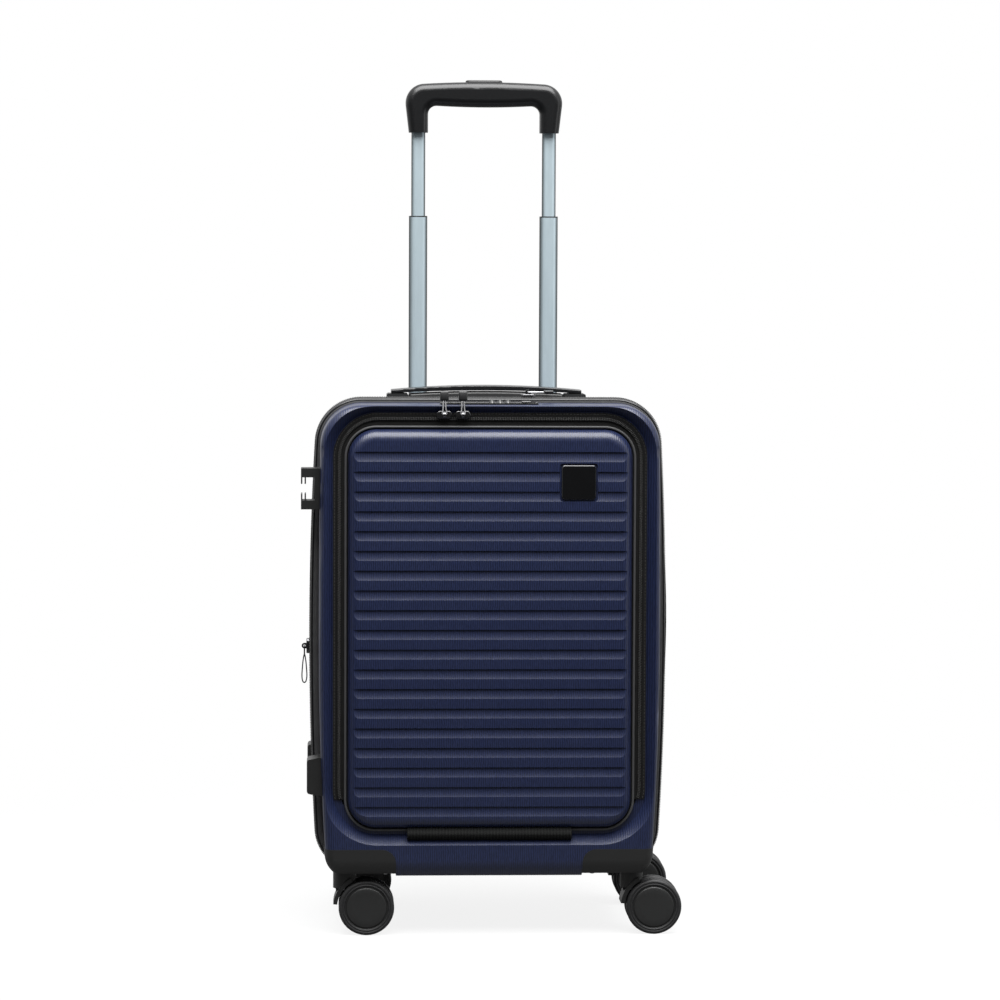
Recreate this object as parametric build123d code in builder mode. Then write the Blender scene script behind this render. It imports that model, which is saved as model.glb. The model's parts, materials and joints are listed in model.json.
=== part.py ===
"""Hard shell cabin suitcase on four twin-wheel casters, shut and upright, trolley handle partly drawn.

Millimetres, +Z up. The lid with the front pocket faces -Y, and the origin is on the floor under the case.
"""

import os
from math import cos, radians, sin, tan

from build123d import *

os.makedirs("parts", exist_ok=True)

# Case body: two moulded half shells with bowed sides
shell_width = 343.0
shell_top = 535.0
shell_bottom = 60.0
case_depth = 230.0
top_bow = 2.0
bottom_bow = 8.0
top_corner = 42.0
bottom_corner = 24.0
shell_wall = 2.5
shell_draft = 1.0
edge_round = 9.0
sill_round = 18.0
lid_depth = 51.0
panel_stand = 2.0

# Fabric belt between the half shells
belt_bulge = 8.5
belt_rise = 4.5
belt_bow = 8.0
belt_top_corner = 46.5
belt_round = 6.0
belt_bottom_corner = 45.0
belt_drop = 2.0
zip_band = 7.0
gusset_band = 18.7
split_gap = 0.3

# Front pocket: recess in the lid, zip tape and ribbed panel
recess_depth = 11.5
recess_slope = 40.0
recess_side_margin = 13.7
recess_top_margin = 7.6
recess_bottom_margin = 43.0
recess_corner = 46.0
seat_width = 8.0
tape_thick = 1.2
tape_margin = 0.8
coil_width = 1.2
coil_height = 2.4
tape_lift = 0.3
panel_side_gap = 15.8
panel_top_gap = 17.5
panel_bottom_gap = 7.2
panel_corner = 28.0
panel_wall = 3.2
panel_draft = 3.0
panel_round = 11.0
groove_count = 19
groove_pitch = 19.75
groove_width = 10.0
groove_depth = 1.6
groove_lip = 0.8
groove_start = 21.7
piping_gap = 1.4
piping_width = 2.2
piping_height = 2.0
tape_under_panel = 2.6

# Badge plate in its pocket
badge_size = 34.0
badge_pocket = 38.0
badge_side_gap = 54.3
badge_below_top = 52.2
badge_depth = 1.9
badge_proud = 0.5
badge_round = 3.0

# Panel hinge of folded webbing
hinge_length = 165.0
hinge_bead = 1.6
hinge_set_back = 2.5
hinge_drop = 6.0
webbing_thick = 1.6

# Inside: pocket wall, lining and packing straps
pocket_wall_thick = 2.0
pocket_wall_inset = 2.0
lining_gap = 1.2
lining_thick = 1.0
lining_flange = 2.0
lining_back_gap = 44.0
strap_width = 25.0
strap_thick = 1.4
strap_spread = 190.0
buckle_length = 42.0
buckle_height = 32.0
buckle_thick = 5.0

# Casters: housings, kingpins, forks, axles and twin wheels
side_pivot_inset = 26.5
front_pivot_inset = 28.0
rear_pivot_inset = 34.0
caster_trail = 22.0
wheel_radius = 28.0
wheel_width = 11.0
tread_round = 3.0
cap_radius = 22.0
cap_groove = 1.2
cap_groove_depth = 0.8
cap_thick = 1.5
hub_radius = 12.0
hub_step = 0.5
axle_radius = 3.0
running_gap = 0.05
web_thick = 10.0
web_round = 9.0
web_gap = 0.5
fender_gap = 1.5
fender_thick = 4.0
fender_width = 26.0
fender_start = 118.0
fender_end = 174.0
crown_radius = 11.5
crown_thick = 17.0
swivel_gap = 0.3
kingpin_radius = 4.0
kingpin_head = 5.2
kingpin_head_thick = 2.5
kingpin_head_gap = 0.1
housing_floor = 64.0
housing_floor_thick = 6.0
housing_height = 25.0
housing_width = 78.0
housing_length = 46.0
rear_housing_length = 68.0
housing_corner = 14.0
housing_proud = 0.8
housing_wall = 3.0
boss_radius = 9.0
boss_height = 10.0

# Trolley handle
tube_spacing = 136.6
tube_inset = 27.0
inner_tube_width = 14.5
inner_tube_depth = 9.5
middle_tube_width = 19.2
middle_tube_depth = 13.4
tube_wall = 1.2
tube_gap = 0.5
outer_tube_top = 486.0
outer_tube_bottom = 74.0
middle_tube_top = 723.0
middle_tube_length = 408.0
collar_height = 6.0
inner_tube_length = 420.0
grip_bottom = 811.0
grip_top = 863.5
grip_width = 168.0
grip_leg = 20.0
grip_bar = 26.0
grip_depth = 24.0
grip_corner = 9.0
grip_shoulder = 20.0
grip_crown = 3.5
grip_belly = 2.0
grip_edge = 8.0
grip_socket = 22.0
button_length = 38.5
button_width = 11.0
button_proud = 2.0
button_height = 9.0
button_travel = 4.0
button_gap = 0.3
button_spring_gap = 0.6
bezel_length = 182.0
bezel_width = 29.0
bezel_wall = 2.0
bezel_flange = 5.0
bezel_flange_thick = 1.2
bezel_floor_thick = 3.0
base_length = 168.0
base_width = 25.0
base_socket = 10.0

# Carry handles on the top and the right side
carry_length = 204.0
carry_width = 27.0
carry_crest = 16.0
carry_thick = 5.0
carry_end_top = 11.4
carry_end_thick = 3.4
carry_round = 1.1
carry_depth_place = 12.0
side_carry_height = 308.0
bracket_length = 22.0
bracket_width = 31.0
bracket_height = 7.6
bracket_round = 1.9
post_length = 13.0
post_width = 16.0
post_gap = 0.4
post_foot_gap = 0.8

# Combination lock on the lid's top
lock_left = -50.0
lock_length = 98.0
lock_width = 30.0
lock_set_back = 6.0
lock_plate = 1.6
lock_plate_lip = 3.0
lock_body_height = 17.0
dial_radius = 7.5
dial_thick = 5.0
dial_pitch = 8.0
dial_place = 52.0
dial_proud = 1.3
dial_gap = 0.4
dial_shaft = 2.0
lock_button_length = 9.0
lock_button_width = 10.0
lock_button_height = 5.0
lock_button_proud = 1.0
lock_button_travel = 4.0
lock_button_place = 82.0
lock_slot_length = 7.0
lock_slot_width = 4.0
lock_slot_depth = 9.0
lock_slot_place = 6.0
lock_slot_pitch = 11.0

# Zip sliders and pullers
slider_length = 15.5
slider_width = 7.6
slider_thick = 3.4
slider_round = 0.85
slider_gap = 0.4
bail_thick = 2.6
bail_radius = 2.8
pin_radius = 1.1
pin_gap = 0.08
puller_width = 8.0
puller_thick = 1.8
puller_window = 5.4
puller_window_reach = 5.6
puller_length = 24.0
puller_lean = 12.0
knob_length = 10.0
knob_width = 9.0
knob_thick = 4.0
knob_round = 3.0
pocket_slider_places = (-46.5, -28.0)
pocket_slider_rise = 3.2
pocket_pin_stand = 4.8
belt_pin_stand = 2.0
expander_height = 287.0
expander_inset = 6.4
expander_puller_length = 38.0
main_slider_place = 40.0
main_puller_length = 26.0

# Side feet and strap hook on the left side
foot_height = 38.5
foot_low = 142.0
foot_proud = 11.5
foot_slope = 2.5
foot_round = 3.0
front_foot_length = 29.0
front_foot_gap = 12.5
rear_foot_length = 32.0
rear_foot_gap = 46.0
hook_low = 429.5
hook_height = 41.0
hook_proud = 17.5
hook_length = 24.0
hook_gap = 13.0
hook_arm = 9.0
hook_base = 4.0
prong_thick = 1.3
prong_length = 6.5
prong_pitch = 3.6

# Planes across the depth of the case
panel_front = -case_depth / 2
front_crest = panel_front + panel_stand
front_rim = front_crest + lid_depth
split_front = front_rim + zip_band
split_rear = split_front + split_gap
rear_rim = split_rear + gusset_band
rear_crest = case_depth / 2
rear_depth = rear_crest - rear_rim
recess_floor = front_crest + recess_depth
panel_back = recess_floor - tape_lift - tape_thick
tube_y = rear_crest - tube_inset
half_width = shell_width / 2
shell_middle = (shell_top + shell_bottom) / 2


def facing_front(depth):
    """Plane across the case at a depth, seen from the front: local x is X, local y is Z, normal -Y."""
    return Plane(origin=(0, depth, 0), x_dir=(1, 0, 0), z_dir=(0, -1, 0))


def facing_rear(depth):
    """Plane across the case at a depth, seen from the rear: local y is Z, normal +Y."""
    return Plane(origin=(0, depth, 0), x_dir=(-1, 0, 0), z_dir=(0, 1, 0))


def box_between(low, high, mode=Mode.ADD):
    """Box from its low corner to its high corner, put into the part being built."""
    middle = tuple((a + b) / 2 for a, b in zip(low, high))
    size = tuple(b - a for a, b in zip(low, high))
    with Locations(middle):
        Box(*size, mode=mode)


def clipped(body, low, high):
    """Stretch of a body between two corners."""
    with BuildPart() as stretch:
        add(body)
        box_between(low, high, mode=Mode.INTERSECT)
    return stretch.part


def above(body, height):
    """Stretch of a body above a height."""
    with BuildPart() as stretch:
        add(body)
        split(bisect_by=Plane.XY.offset(height), keep=Keep.TOP)
    return stretch.part


def case_face(plane, grow):
    """Outline of the case seen from the front, with bowed sides, grown outward all round."""
    half = half_width + grow
    ends = (half - bottom_bow, half - top_bow)
    levels = (shell_bottom - grow, shell_top + grow)
    return bowed_face(plane, half, ends, levels, (bottom_corner + grow, top_corner + grow))


def bowed_face(plane, half, ends, levels, corners):
    """Upright outline, widest at the middle of the case; pairs give the bottom end, then the top end."""
    with BuildSketch(plane) as face:
        with BuildLine():
            Line((-ends[0], levels[0]), (ends[0], levels[0]))
            Line((-ends[1], levels[1]), (ends[1], levels[1]))
            for side in (-1, 1):
                TangentArc((side * half, shell_middle), (side * ends[0], levels[0]), tangent=(0, -1))
                TangentArc((side * half, shell_middle), (side * ends[1], levels[1]), tangent=(0, 1))
        make_face()
        fillet(face.vertices().group_by(Axis.Y)[0], corners[0])
        fillet(face.vertices().group_by(Axis.Y)[-1], corners[1])
    return face.sketch


def front_body(grow):
    """Solid lid half, from its rim to its crest, with draft and a rounded front edge, grown outward.

    The edge is rounder along the sill under the pocket.
    """
    with BuildPart() as body:
        extrude(case_face(facing_front(front_rim), grow), amount=lid_depth + grow, taper=shell_draft)
        fillet(body.faces().sort_by(Axis.Y)[0].edges(), edge_round + grow)
        with BuildSketch(Plane.YZ) as side:
            with Locations((front_rim, shell_top)):
                Rectangle(2 * (lid_depth + grow), 2 * (shell_top - shell_bottom + grow))
            fillet(side.vertices().group_by(Axis.X)[0].sort_by(Axis.Y)[0], sill_round + grow)
        extrude(amount=shell_width, both=True, mode=Mode.INTERSECT)
    return body.part


def rear_body(grow):
    """Solid rear half, from its rim to its back, with draft and a rounded back edge, grown outward."""
    with BuildPart() as body:
        extrude(case_face(facing_rear(rear_rim), grow), amount=rear_depth + grow, taper=shell_draft)
        fillet(body.faces().sort_by(Axis.Y)[-1].edges(), edge_round + grow)
    return body.part


def recess_face(depth, inset):
    """Outline of the pocket recess at its floor, shrunk by an inset."""
    width = shell_width - 2 * (recess_side_margin + inset)
    low = shell_bottom + recess_bottom_margin + inset
    high = shell_top - recess_top_margin - inset
    with BuildSketch(facing_front(depth)) as face:
        with Locations((0, (low + high) / 2)):
            RectangleRounded(width, high - low, recess_corner - inset)
    return face.sketch


def recess_body(grow):
    """Solid of the sloped recess, reaching out past the front of the lid."""
    with BuildPart() as body:
        reach = recess_depth + panel_stand + edge_round + grow
        outline = recess_face(recess_floor + grow, -grow)
        extrude(outline, amount=reach, taper=-recess_slope)
    return body.part


panel_half = half_width - recess_side_margin - panel_side_gap
panel_low = shell_bottom + recess_bottom_margin + panel_bottom_gap
panel_high = shell_top - recess_top_margin - panel_top_gap


def panel_face(depth, inset):
    """Outline of the pocket panel at its back edge, shrunk by an inset."""
    with BuildSketch(facing_front(depth)) as face:
        with Locations((0, (panel_low + panel_high) / 2)):
            width = 2 * (panel_half - inset)
            height = panel_high - panel_low - 2 * inset
            RectangleRounded(width, height, panel_corner - inset)
    return face.sketch


def panel_body(inset):
    """Solid tray of the pocket panel, from its back edge to its front, shrunk by an inset."""
    with BuildPart() as body:
        depth = panel_back - panel_front - inset
        extrude(panel_face(panel_back, inset), amount=depth, taper=panel_draft)
        fillet(body.faces().sort_by(Axis.Y)[0].edges(), panel_round - inset)
    return body.part


# Corners of the case that the wheel housings take over
housing_top = housing_floor + housing_height
housing_inner = half_width - housing_width
front_housing_back = front_crest + housing_length
rear_housing_front = rear_crest - rear_housing_length


def housing_block(low_y, high_y):
    """Pair of solids that mark off the two lower corners between two depths."""
    outer = half_width + belt_bulge
    low = shell_bottom - belt_bulge
    with BuildPart() as block:
        with BuildSketch(facing_front(high_y)) as corner:
            with BuildLine():
                Polyline(
                    (housing_inner, low),
                    (outer, low),
                    (outer, housing_top),
                    (housing_inner, housing_top),
                    close=True,
                )
            make_face()
            fillet(corner.vertices().group_by(Axis.X)[0].sort_by(Axis.Y)[-1], housing_corner)
            mirror(about=Plane.YZ)
        extrude(amount=high_y - low_y)
    return block.part


front_outer = front_body(0)
front_inner = front_body(-shell_wall)
rear_outer = rear_body(0)
rear_inner = rear_body(-shell_wall)
front_corners = housing_block(front_crest - edge_round, front_housing_back)
rear_corners = housing_block(rear_housing_front, rear_crest + edge_round)

# Combination lock: places shared by the lid's cut-out, the case, the dials and the button
lock_right = lock_left + lock_length
lock_back = front_rim - lock_set_back
lock_front = lock_back - lock_width
lock_middle_y = (lock_front + lock_back) / 2
lock_top = shell_top + lock_plate
lock_floor = shell_top - lock_body_height
dial_z = lock_top + dial_proud - dial_radius
dial_places = [lock_left + dial_place + i * dial_pitch for i in range(3)]

# Lid shell: wall, sloped recess and pocket mouth, with cut-outs for the lock and the wheel housings
front_cavity = front_inner - recess_body(shell_wall)
with BuildPart() as front_shell:
    add(front_outer)
    add(recess_body(0), mode=Mode.SUBTRACT)
    add(front_cavity, mode=Mode.SUBTRACT)
    extrude(recess_face(front_rim, seat_width), amount=lid_depth, mode=Mode.SUBTRACT)
    box_between(
        (lock_left + lock_plate_lip, lock_front + lock_plate_lip, lock_floor),
        (lock_right - lock_plate_lip, lock_back - lock_plate_lip, lock_top),
        mode=Mode.SUBTRACT,
    )
    add(front_corners, mode=Mode.SUBTRACT)
front_shell.part.label = "front_shell"
export_step(front_shell.part, "parts/front_shell.step")

# Ribbed panel of the front pocket: a tray with scooped grooves across it and a pocket for the badge
groove_tops = [panel_high - groove_start - i * groove_pitch for i in range(groove_count)]
badge_x = panel_half - badge_side_gap
badge_z = panel_high - badge_below_top
with BuildPart() as front_panel:
    add(panel_body(0))
    add(panel_body(panel_wall), mode=Mode.SUBTRACT)
    with BuildSketch(Plane.YZ):
        for groove_top in groove_tops:
            with BuildLine():
                groove_foot = groove_top - groove_width
                lip = Line((panel_front, groove_top), (panel_front + groove_depth, groove_top - groove_lip))
                scoop = TangentArc(lip @ 1, (panel_front, groove_foot), tangent=(0, -1))
                outside = panel_front - groove_depth
                Polyline(scoop @ 1, (outside, groove_foot), (outside, groove_top), lip @ 0)
            make_face()
    extrude(amount=panel_half, both=True, mode=Mode.SUBTRACT)
    with BuildSketch(facing_front(panel_front + badge_depth)):
        with Locations((badge_x, badge_z)):
            RectangleRounded(badge_pocket, badge_pocket, badge_round)
    extrude(amount=badge_depth, mode=Mode.SUBTRACT)
front_panel.part.label = "front_panel"
export_step(front_panel.part, "parts/front_panel.step")

with BuildPart() as badge_plate:
    with BuildSketch(facing_front(panel_front + badge_depth)):
        with Locations((badge_x, badge_z)):
            RectangleRounded(badge_size, badge_size, badge_round)
    extrude(amount=badge_depth + badge_proud)
    chamfer(badge_plate.faces().sort_by(Axis.Y)[0].edges(), badge_proud)
badge_plate.part.label = "badge_plate"
export_step(badge_plate.part, "parts/badge_plate.step")

# Pocket zip: one tape sewn to the lid's recess, one to the panel, each with half of the coil, up both
# sides and over the top; the piping goes all round
coil_inset = seat_width - coil_width
zip_end = panel_low + panel_corner
zip_foot = (-shell_width, panel_front, shell_bottom), (shell_width, front_rim, zip_end)
with BuildPart() as pocket_zip_frame:
    extrude(recess_face(recess_floor, tape_margin), amount=tape_thick)
    extrude(recess_face(recess_floor, coil_inset - coil_width), amount=coil_height)
    extrude(recess_face(recess_floor, coil_inset), amount=coil_height, mode=Mode.SUBTRACT)
    box_between(*zip_foot, mode=Mode.SUBTRACT)
pocket_zip_frame.part.label = "pocket_zip_frame"
export_step(pocket_zip_frame.part, "parts/pocket_zip_frame.step")

panel_coil_inset = coil_inset + split_gap
piping_outer = -piping_gap - piping_width
tape_back = recess_floor - tape_lift
with BuildPart() as pocket_zip_panel:
    extrude(recess_face(tape_back, panel_coil_inset), amount=coil_height)
    coil_inside = recess_face(panel_back, panel_coil_inset + coil_width)
    extrude(coil_inside, amount=coil_height, mode=Mode.SUBTRACT)
    box_between(*zip_foot, mode=Mode.SUBTRACT)
    extrude(panel_face(tape_back, piping_outer), amount=tape_thick + piping_height)
    extrude(panel_face(panel_back, -piping_gap), amount=piping_height, mode=Mode.SUBTRACT)
    extrude(panel_face(tape_back, tape_under_panel), amount=tape_thick, mode=Mode.SUBTRACT)
pocket_zip_panel.part.label = "pocket_zip_panel"
export_step(pocket_zip_panel.part, "parts/pocket_zip_panel.step")

# Folded webbing under the panel, with its fold on the panel's hinge line
hinge_y = front_crest - hinge_set_back + panel_stand
hinge_z = panel_low - hinge_drop
with BuildPart() as panel_hinge_webbing:
    with BuildSketch(Plane.YZ):
        with Locations((hinge_y, hinge_z)):
            Circle(hinge_bead)
        with BuildLine():
            Polyline(
                (hinge_y, hinge_z),
                (hinge_y + webbing_thick, hinge_z),
                (hinge_y + webbing_thick + panel_round / 2, panel_low),
                (hinge_y + panel_round / 2, panel_low),
                close=True,
            )
        make_face()
    extrude(amount=hinge_length / 2, both=True)
panel_hinge_webbing.part.label = "panel_hinge_webbing"
export_step(panel_hinge_webbing.part, "parts/panel_hinge_webbing.step")

# Padded wall between the front pocket and the main compartment
pocket_wall_back = front_rim - pocket_wall_inset
pocket_wall = clipped(
    front_inner,
    (-shell_width, pocket_wall_back - pocket_wall_thick, 0),
    (shell_width, pocket_wall_back, 2 * shell_top),
)
pocket_wall.label = "pocket_wall"
export_step(pocket_wall, "parts/pocket_wall.step")

# Belt: the main zip's front tape on the lid, and the gusset on the rear shell
def belt_face(plane):
    """Outline of the belt, proud of the shells at the sides and top and clear of the casters below."""
    half = half_width + belt_bulge
    ends = (half - belt_bow, half - belt_bow)
    levels = (shell_bottom - belt_drop, shell_top + belt_rise)
    return bowed_face(plane, half, ends, levels, (belt_bottom_corner, belt_top_corner))


with BuildPart() as main_zip_front:
    extrude(belt_face(facing_front(split_front)), amount=zip_band)
    fillet(main_zip_front.faces().sort_by(Axis.Y)[0].edges(), belt_round)
    extrude(case_face(facing_front(split_front), -shell_wall), amount=zip_band, mode=Mode.SUBTRACT)
main_zip_front.part.label = "main_zip_front"
export_step(main_zip_front.part, "parts/main_zip_front.step")

with BuildPart() as main_gusset:
    extrude(belt_face(facing_rear(split_rear)), amount=gusset_band)
    fillet(main_gusset.faces().sort_by(Axis.Y)[-1].edges(), belt_round)
    extrude(case_face(facing_rear(split_rear), -shell_wall), amount=gusset_band, mode=Mode.SUBTRACT)
main_gusset.part.label = "main_gusset"
export_step(main_gusset.part, "parts/main_gusset.step")

# Rear shell, cut for the trolley bezel and the wheel housings
bezel_front = tube_y - bezel_width / 2
bezel_back = tube_y + bezel_width / 2
cup_half = bezel_length / 2
with BuildPart() as rear_shell:
    add(rear_outer)
    add(rear_inner, mode=Mode.SUBTRACT)
    box_between(
        (-cup_half, bezel_front, outer_tube_top),
        (cup_half, bezel_back, shell_top + shell_wall),
        mode=Mode.SUBTRACT,
    )
    add(rear_corners, mode=Mode.SUBTRACT)
rear_shell.part.label = "rear_shell"
export_step(rear_shell.part, "parts/rear_shell.step")


# Lining of the rear half: an open tray, notched over the wheel housings and sewn to the gusset
def lining_tray(grow, depth):
    """Solid of the lining's outside or inside, with the notches over the wheel housings."""
    notch_inner = housing_inner + grow
    notch_top = housing_top - grow
    with BuildPart() as tray:
        extrude(case_face(facing_rear(rear_rim), grow), amount=depth, taper=shell_draft)
        for outer, inner in ((-shell_width, -notch_inner), (notch_inner, shell_width)):
            box_between((outer, split_rear, 0), (inner, rear_crest, notch_top), mode=Mode.SUBTRACT)
    return tray.part


lining_depth = rear_depth - lining_back_gap
lining_inset = shell_wall + lining_gap
lining_outside = lining_tray(-lining_inset, lining_depth)
lining_inside = lining_tray(-lining_inset - lining_thick, lining_depth - lining_thick)
lining_back = rear_rim + lining_depth
with BuildPart() as rear_lining:
    add(lining_outside)
    add(lining_inside, mode=Mode.SUBTRACT)
    extrude(case_face(facing_front(rear_rim), -shell_wall), amount=lining_flange)
    lining_mouth = case_face(facing_front(rear_rim), -lining_inset - lining_thick)
    extrude(lining_mouth, amount=lining_flange, mode=Mode.SUBTRACT)
rear_lining.part.label = "rear_lining"
export_step(rear_lining.part, "parts/rear_lining.step")

strap_back = lining_back - lining_thick
strap_half = half_width - lining_inset - lining_thick - bottom_bow - lining_depth * tan(radians(shell_draft))
with BuildPart() as packing_straps:
    for side in (-1, 1):
        strap_z = shell_middle + side * strap_spread / 2
        box_between(
            (-strap_half, strap_back - strap_thick, strap_z - strap_width / 2),
            (strap_half, strap_back, strap_z + strap_width / 2),
        )
        box_between(
            (-buckle_length / 2, strap_back - strap_thick - buckle_thick, strap_z - buckle_height / 2),
            (buckle_length / 2, strap_back - strap_thick, strap_z + buckle_height / 2),
        )
packing_straps.part.label = "packing_straps"
export_step(packing_straps.part, "parts/packing_straps.step")


# Wheel housings: corner blocks of the shell with a floor, and a boss for the kingpin
def wheel_housings(corners, outside, inside, pivot_y):
    """Pair of housings for the front or the rear corners."""
    with BuildPart() as housings:
        add(above(outside, housing_floor))
        add(corners, mode=Mode.INTERSECT)
        add(above(inside, housing_floor + housing_floor_thick), mode=Mode.SUBTRACT)
        for side in (-1, 1):
            with Locations((side * pivot_across, pivot_y, (housing_floor + pin_top) / 2)):
                Cylinder(boss_radius, pin_top - housing_floor)
                Cylinder(kingpin_radius, pin_top - housing_floor, mode=Mode.SUBTRACT)
    return housings.part


def kingpins(pivot_y):
    """Pair of headed pins that hang the forks from their housings."""
    with BuildPart() as pins:
        for side in (-1, 1):
            with Locations((side * pivot_across, pivot_y, head_top)):
                Cylinder(kingpin_radius, pin_top - head_top, align=(Align.CENTER, Align.CENTER, Align.MIN))
                Cylinder(kingpin_head, kingpin_head_thick, align=(Align.CENTER, Align.CENTER, Align.MAX))
    return pins.part


pivot_across = half_width - side_pivot_inset
front_pivot_y = front_crest + front_pivot_inset
rear_pivot_y = rear_crest - rear_pivot_inset
crown_top = housing_floor - swivel_gap
crown_bottom = crown_top - crown_thick
head_top = crown_bottom - kingpin_head_gap
pin_top = housing_floor + housing_floor_thick + boss_height

front_wheel_housings = wheel_housings(
    front_corners, front_body(housing_proud), front_body(-housing_wall), front_pivot_y
)
front_wheel_housings.label = "front_wheel_housings"
export_step(front_wheel_housings, "parts/front_wheel_housings.step")
rear_wheel_housings = wheel_housings(
    rear_corners, rear_body(housing_proud), rear_body(-housing_wall), rear_pivot_y
)
rear_wheel_housings.label = "rear_wheel_housings"
export_step(rear_wheel_housings, "parts/rear_wheel_housings.step")

front_kingpins = kingpins(front_pivot_y)
front_kingpins.label = "front_kingpins"
export_step(front_kingpins, "parts/front_kingpins.step")
rear_kingpins = kingpins(rear_pivot_y)
rear_kingpins.label = "rear_kingpins"
export_step(rear_kingpins, "parts/rear_kingpins.step")

# Casters: all four trail to the right, as the case was rolled
wheel_inner = web_thick / 2 + web_gap
wheel_outer = wheel_inner + wheel_width
fender_inner = wheel_radius + fender_gap


def fork_part(pivot_x, pivot_y):
    """Fork of one caster: crown, web down to the axle and a fender over the back of the wheels."""
    side_view = Plane(origin=(pivot_x, pivot_y, 0), x_dir=(1, 0, 0), z_dir=(0, -1, 0))
    with BuildPart() as fork:
        with BuildSketch(side_view):
            with Locations((caster_trail, wheel_radius)):
                Circle(web_round)
            with Locations((0, crown_bottom)):
                Circle(web_round)
            make_hull()
        extrude(amount=web_thick / 2, both=True)
        with BuildSketch(side_view):
            with Locations((caster_trail, wheel_radius)):
                Circle(fender_inner + fender_thick)
                Circle(fender_inner, mode=Mode.SUBTRACT)
                with BuildLine():
                    reach = 2 * wheel_radius
                    turn = (fender_end - fender_start) / 2
                    rays = [fender_start, fender_start + turn, fender_end]
                    Polyline(
                        (caster_trail, wheel_radius),
                        *[
                            (caster_trail + reach * cos(radians(a)), wheel_radius + reach * sin(radians(a)))
                            for a in rays
                        ],
                        close=True,
                    )
                make_face(mode=Mode.INTERSECT)
        extrude(amount=fender_width / 2, both=True)
        with Locations((pivot_x, pivot_y, crown_top)):
            Cylinder(crown_radius, crown_thick, align=(Align.CENTER, Align.CENTER, Align.MAX))
        for side in (-1, 1):
            with BuildSketch(side_view.offset(side * (wheel_inner - web_gap))):
                with Locations((caster_trail, wheel_radius)):
                    Circle(fender_inner)
            extrude(amount=side * 2 * wheel_width, mode=Mode.SUBTRACT)
        with Locations((pivot_x, pivot_y, crown_top)):
            pin_hole = kingpin_radius + running_gap
            Cylinder(pin_hole, 2 * crown_thick, mode=Mode.SUBTRACT)
        with Locations((pivot_x, pivot_y, crown_bottom - crown_thick / 2)):
            head_hole = kingpin_head + 2 * kingpin_head_gap
            Cylinder(head_hole, crown_thick, mode=Mode.SUBTRACT)
        with BuildSketch(side_view):
            with Locations((caster_trail, wheel_radius)):
                Circle(axle_radius)
        extrude(amount=web_thick, both=True, mode=Mode.SUBTRACT)
    return fork.part


def axle_part(pivot_x, pivot_y):
    """Axle through the fork's web, ending inside the wheel caps."""
    side_view = Plane(origin=(pivot_x, pivot_y, 0), x_dir=(1, 0, 0), z_dir=(0, -1, 0))
    with BuildPart() as axle:
        with BuildSketch(side_view):
            with Locations((caster_trail, wheel_radius)):
                Circle(axle_radius)
        extrude(amount=wheel_outer - cap_thick - web_gap, both=True)
    return axle.part


def wheel_part(pivot_x, pivot_y, side):
    """One of a twin pair: a tyred disc with a grooved cap on its outer face and a blind bore."""
    hub = (pivot_x + caster_trail, pivot_y + side * wheel_inner, wheel_radius)
    section = Plane(origin=hub, x_dir=(1, 0, 0), z_dir=(0, 0, side))
    bore = axle_radius + running_gap
    with BuildPart() as wheel:
        with BuildSketch(section) as half:
            with BuildLine():
                Polyline(
                    (0, wheel_width),
                    (cap_radius - cap_groove, wheel_width),
                    (cap_radius - cap_groove, wheel_width - cap_groove_depth),
                    (cap_radius, wheel_width - cap_groove_depth),
                    (cap_radius, wheel_width),
                    (wheel_radius, wheel_width),
                    (wheel_radius, hub_step),
                    (hub_radius, hub_step),
                    (hub_radius, 0),
                    (bore, 0),
                    (bore, wheel_width - cap_thick),
                    (0, wheel_width - cap_thick),
                    close=True,
                )
            make_face()
            fillet(half.vertices().group_by(Axis.X)[-1], tread_round)
        revolve(axis=Axis(hub, (0, 1, 0)))
    return wheel.part


casters = {
    "front_left": (-pivot_across, front_pivot_y),
    "front_right": (pivot_across, front_pivot_y),
    "rear_left": (-pivot_across, rear_pivot_y),
    "rear_right": (pivot_across, rear_pivot_y),
}
for corner, (pivot_x, pivot_y) in casters.items():
    pieces = {
        f"{corner}_fork": fork_part(pivot_x, pivot_y),
        f"{corner}_axle": axle_part(pivot_x, pivot_y),
        f"{corner}_wheel_a": wheel_part(pivot_x, pivot_y, -1),
        f"{corner}_wheel_b": wheel_part(pivot_x, pivot_y, 1),
    }
    for label, piece in pieces.items():
        piece.label = label
        export_step(piece, f"parts/{label}.step")

# Trolley handle: three telescoping stages on each side, a cup in the shell and a foot for the outer tubes
outer_tube_width = middle_tube_width + 2 * (tube_gap + tube_wall)
outer_tube_depth = middle_tube_depth + 2 * (tube_gap + tube_wall)


def tube_faces(height, width, depth):
    """Rounded outlines of the left and right tubes at a height."""
    with BuildSketch(Plane.XY.offset(height)) as faces:
        with Locations((-tube_spacing / 2, tube_y), (tube_spacing / 2, tube_y)):
            SlotOverall(width, depth)
    return faces.sketch


def tube_pair(low, high, width, depth):
    """Left and right thin tubes between two heights."""
    with BuildPart() as tubes:
        extrude(tube_faces(low, width, depth), amount=high - low)
        bore = tube_faces(low, width - 2 * tube_wall, depth - 2 * tube_wall)
        extrude(bore, amount=high - low, mode=Mode.SUBTRACT)
    return tubes.part


outer_tubes = tube_pair(outer_tube_bottom, outer_tube_top, outer_tube_width, outer_tube_depth)
outer_tubes.label = "outer_tubes"
export_step(outer_tubes, "parts/outer_tubes.step")

middle_tube_bottom = middle_tube_top - middle_tube_length
middle_tubes = tube_pair(middle_tube_bottom, middle_tube_top, middle_tube_width, middle_tube_depth)
middle_tubes.label = "middle_tubes"
export_step(middle_tubes, "parts/middle_tubes.step")

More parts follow.
